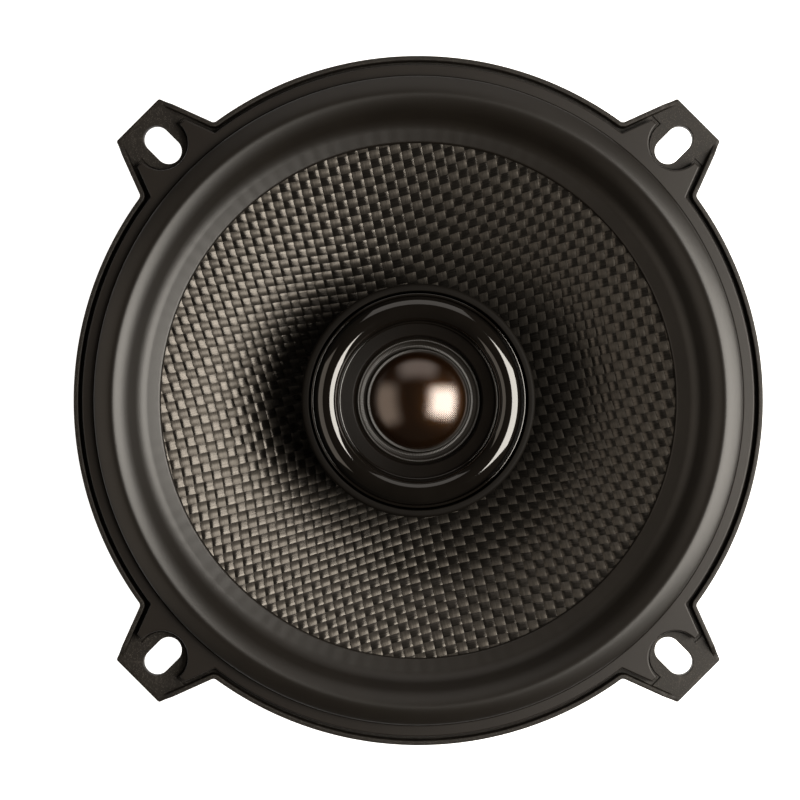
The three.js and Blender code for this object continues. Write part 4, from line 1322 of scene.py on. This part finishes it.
def add_light(name, polar, azimuth, distance, size, radiance, color):
    """A soft light aimed at the middle of the flange, from angles in degrees."""
    data = bpy.data.lights.new(name, "AREA")
    data.shape = "RECTANGLE"
    data.size, data.size_y = size
    data.energy = radiance * math.pi * size[0] * size[1]
    data.color = color
    made = bpy.data.objects.new(name, data)
    bpy.context.scene.collection.objects.link(made)
    p, a = math.radians(polar), math.radians(azimuth)
    way = Vector((math.sin(p) * math.cos(a), math.sin(p) * math.sin(a), math.cos(p))).normalized()
    made.location = Vector((0, 0, FLANGE_HEIGHT)) + way * distance
    made.rotation_euler = (-way).to_track_quat("-Z", "Y").to_euler()
    made.visible_camera = False


floor_shader = Shader("pale_floor")
from_middle = floor_shader.node("ShaderNodeVectorMath", operation="LENGTH")
floor_shader.link(floor_shader.mm, from_middle.inputs[0])
# The floor's glow fades towards the middle: a painted contact shadow under the speaker.
glow_with_painted_shadow = floor_shader.remap(from_middle.outputs["Value"], 36, 73, 0.35, 0.95)
floor_shader.link(glow_with_painted_shadow, floor_shader.bsdf.inputs["Emission Strength"])
floor_shader.color(floor_shader.mix(floor_shader.noise(20), (0.55, 0.55, 0.55), (0.6, 0.6, 0.6)))
floor_shader.set(Emission_Color=(1, 1, 1, 1), Roughness=0.8, Specular_IOR_Level=0.1)
bpy.ops.mesh.primitive_plane_add(size=6, location=(0, 0, -0.0005))
floor = bpy.context.object
floor.name = "floor"
floor.data.materials.append(floor_shader.material)

world = bpy.data.worlds.new("studio")
bpy.context.scene.world = world
world.use_nodes = True
nodes, links = world.node_tree.nodes, world.node_tree.links
background = nodes["Background"]
background.inputs["Color"].default_value = (1.0, 0.9, 0.78, 1)
background.inputs["Strength"].default_value = 0.05
white = nodes.new("ShaderNodeBackground")
white.inputs["Color"].default_value = (1, 1, 1, 1)
white.inputs["Strength"].default_value = 1.0
seen = nodes.new("ShaderNodeLightPath")
either = nodes.new("ShaderNodeMixShader")
links.new(seen.outputs["Is Camera Ray"], either.inputs[0])
links.new(background.outputs[0], either.inputs[1])
links.new(white.outputs[0], either.inputs[2])
links.new(either.outputs[0], nodes["World Output"].inputs["Surface"])


add_light("key", 44, -4, 0.38, (0.31, 0.31), 17, (1.0, 0.945, 0.86))
add_light("left_fill", 56, 187, 0.55, (0.62, 0.36), 1.6, (1.0, 0.87, 0.73))
add_light("top_fill", 60, 90, 0.55, (0.56, 0.36), 1.3, (1.0, 0.93, 0.86))

SEEN_WIDTH = 0.1513  # width of the flange plane that fills the picture, in metres
camera_data = bpy.data.cameras.new("camera")
camera = bpy.data.objects.new("camera", camera_data)
bpy.context.scene.collection.objects.link(camera)
bpy.context.scene.camera = camera
camera_data.lens = 90
camera_data.sensor_width = 36
camera_data.sensor_fit = "HORIZONTAL"
away = SEEN_WIDTH * camera_data.lens / camera_data.sensor_width
camera.location = (-0.00345, 0.0001, FLANGE_HEIGHT + away)
camera.rotation_euler = (0, 0, 0)
camera_data.clip_start = 0.01

bpy.context.scene.view_settings.view_transform = "Standard"
bpy.context.scene.view_settings.look = "None"
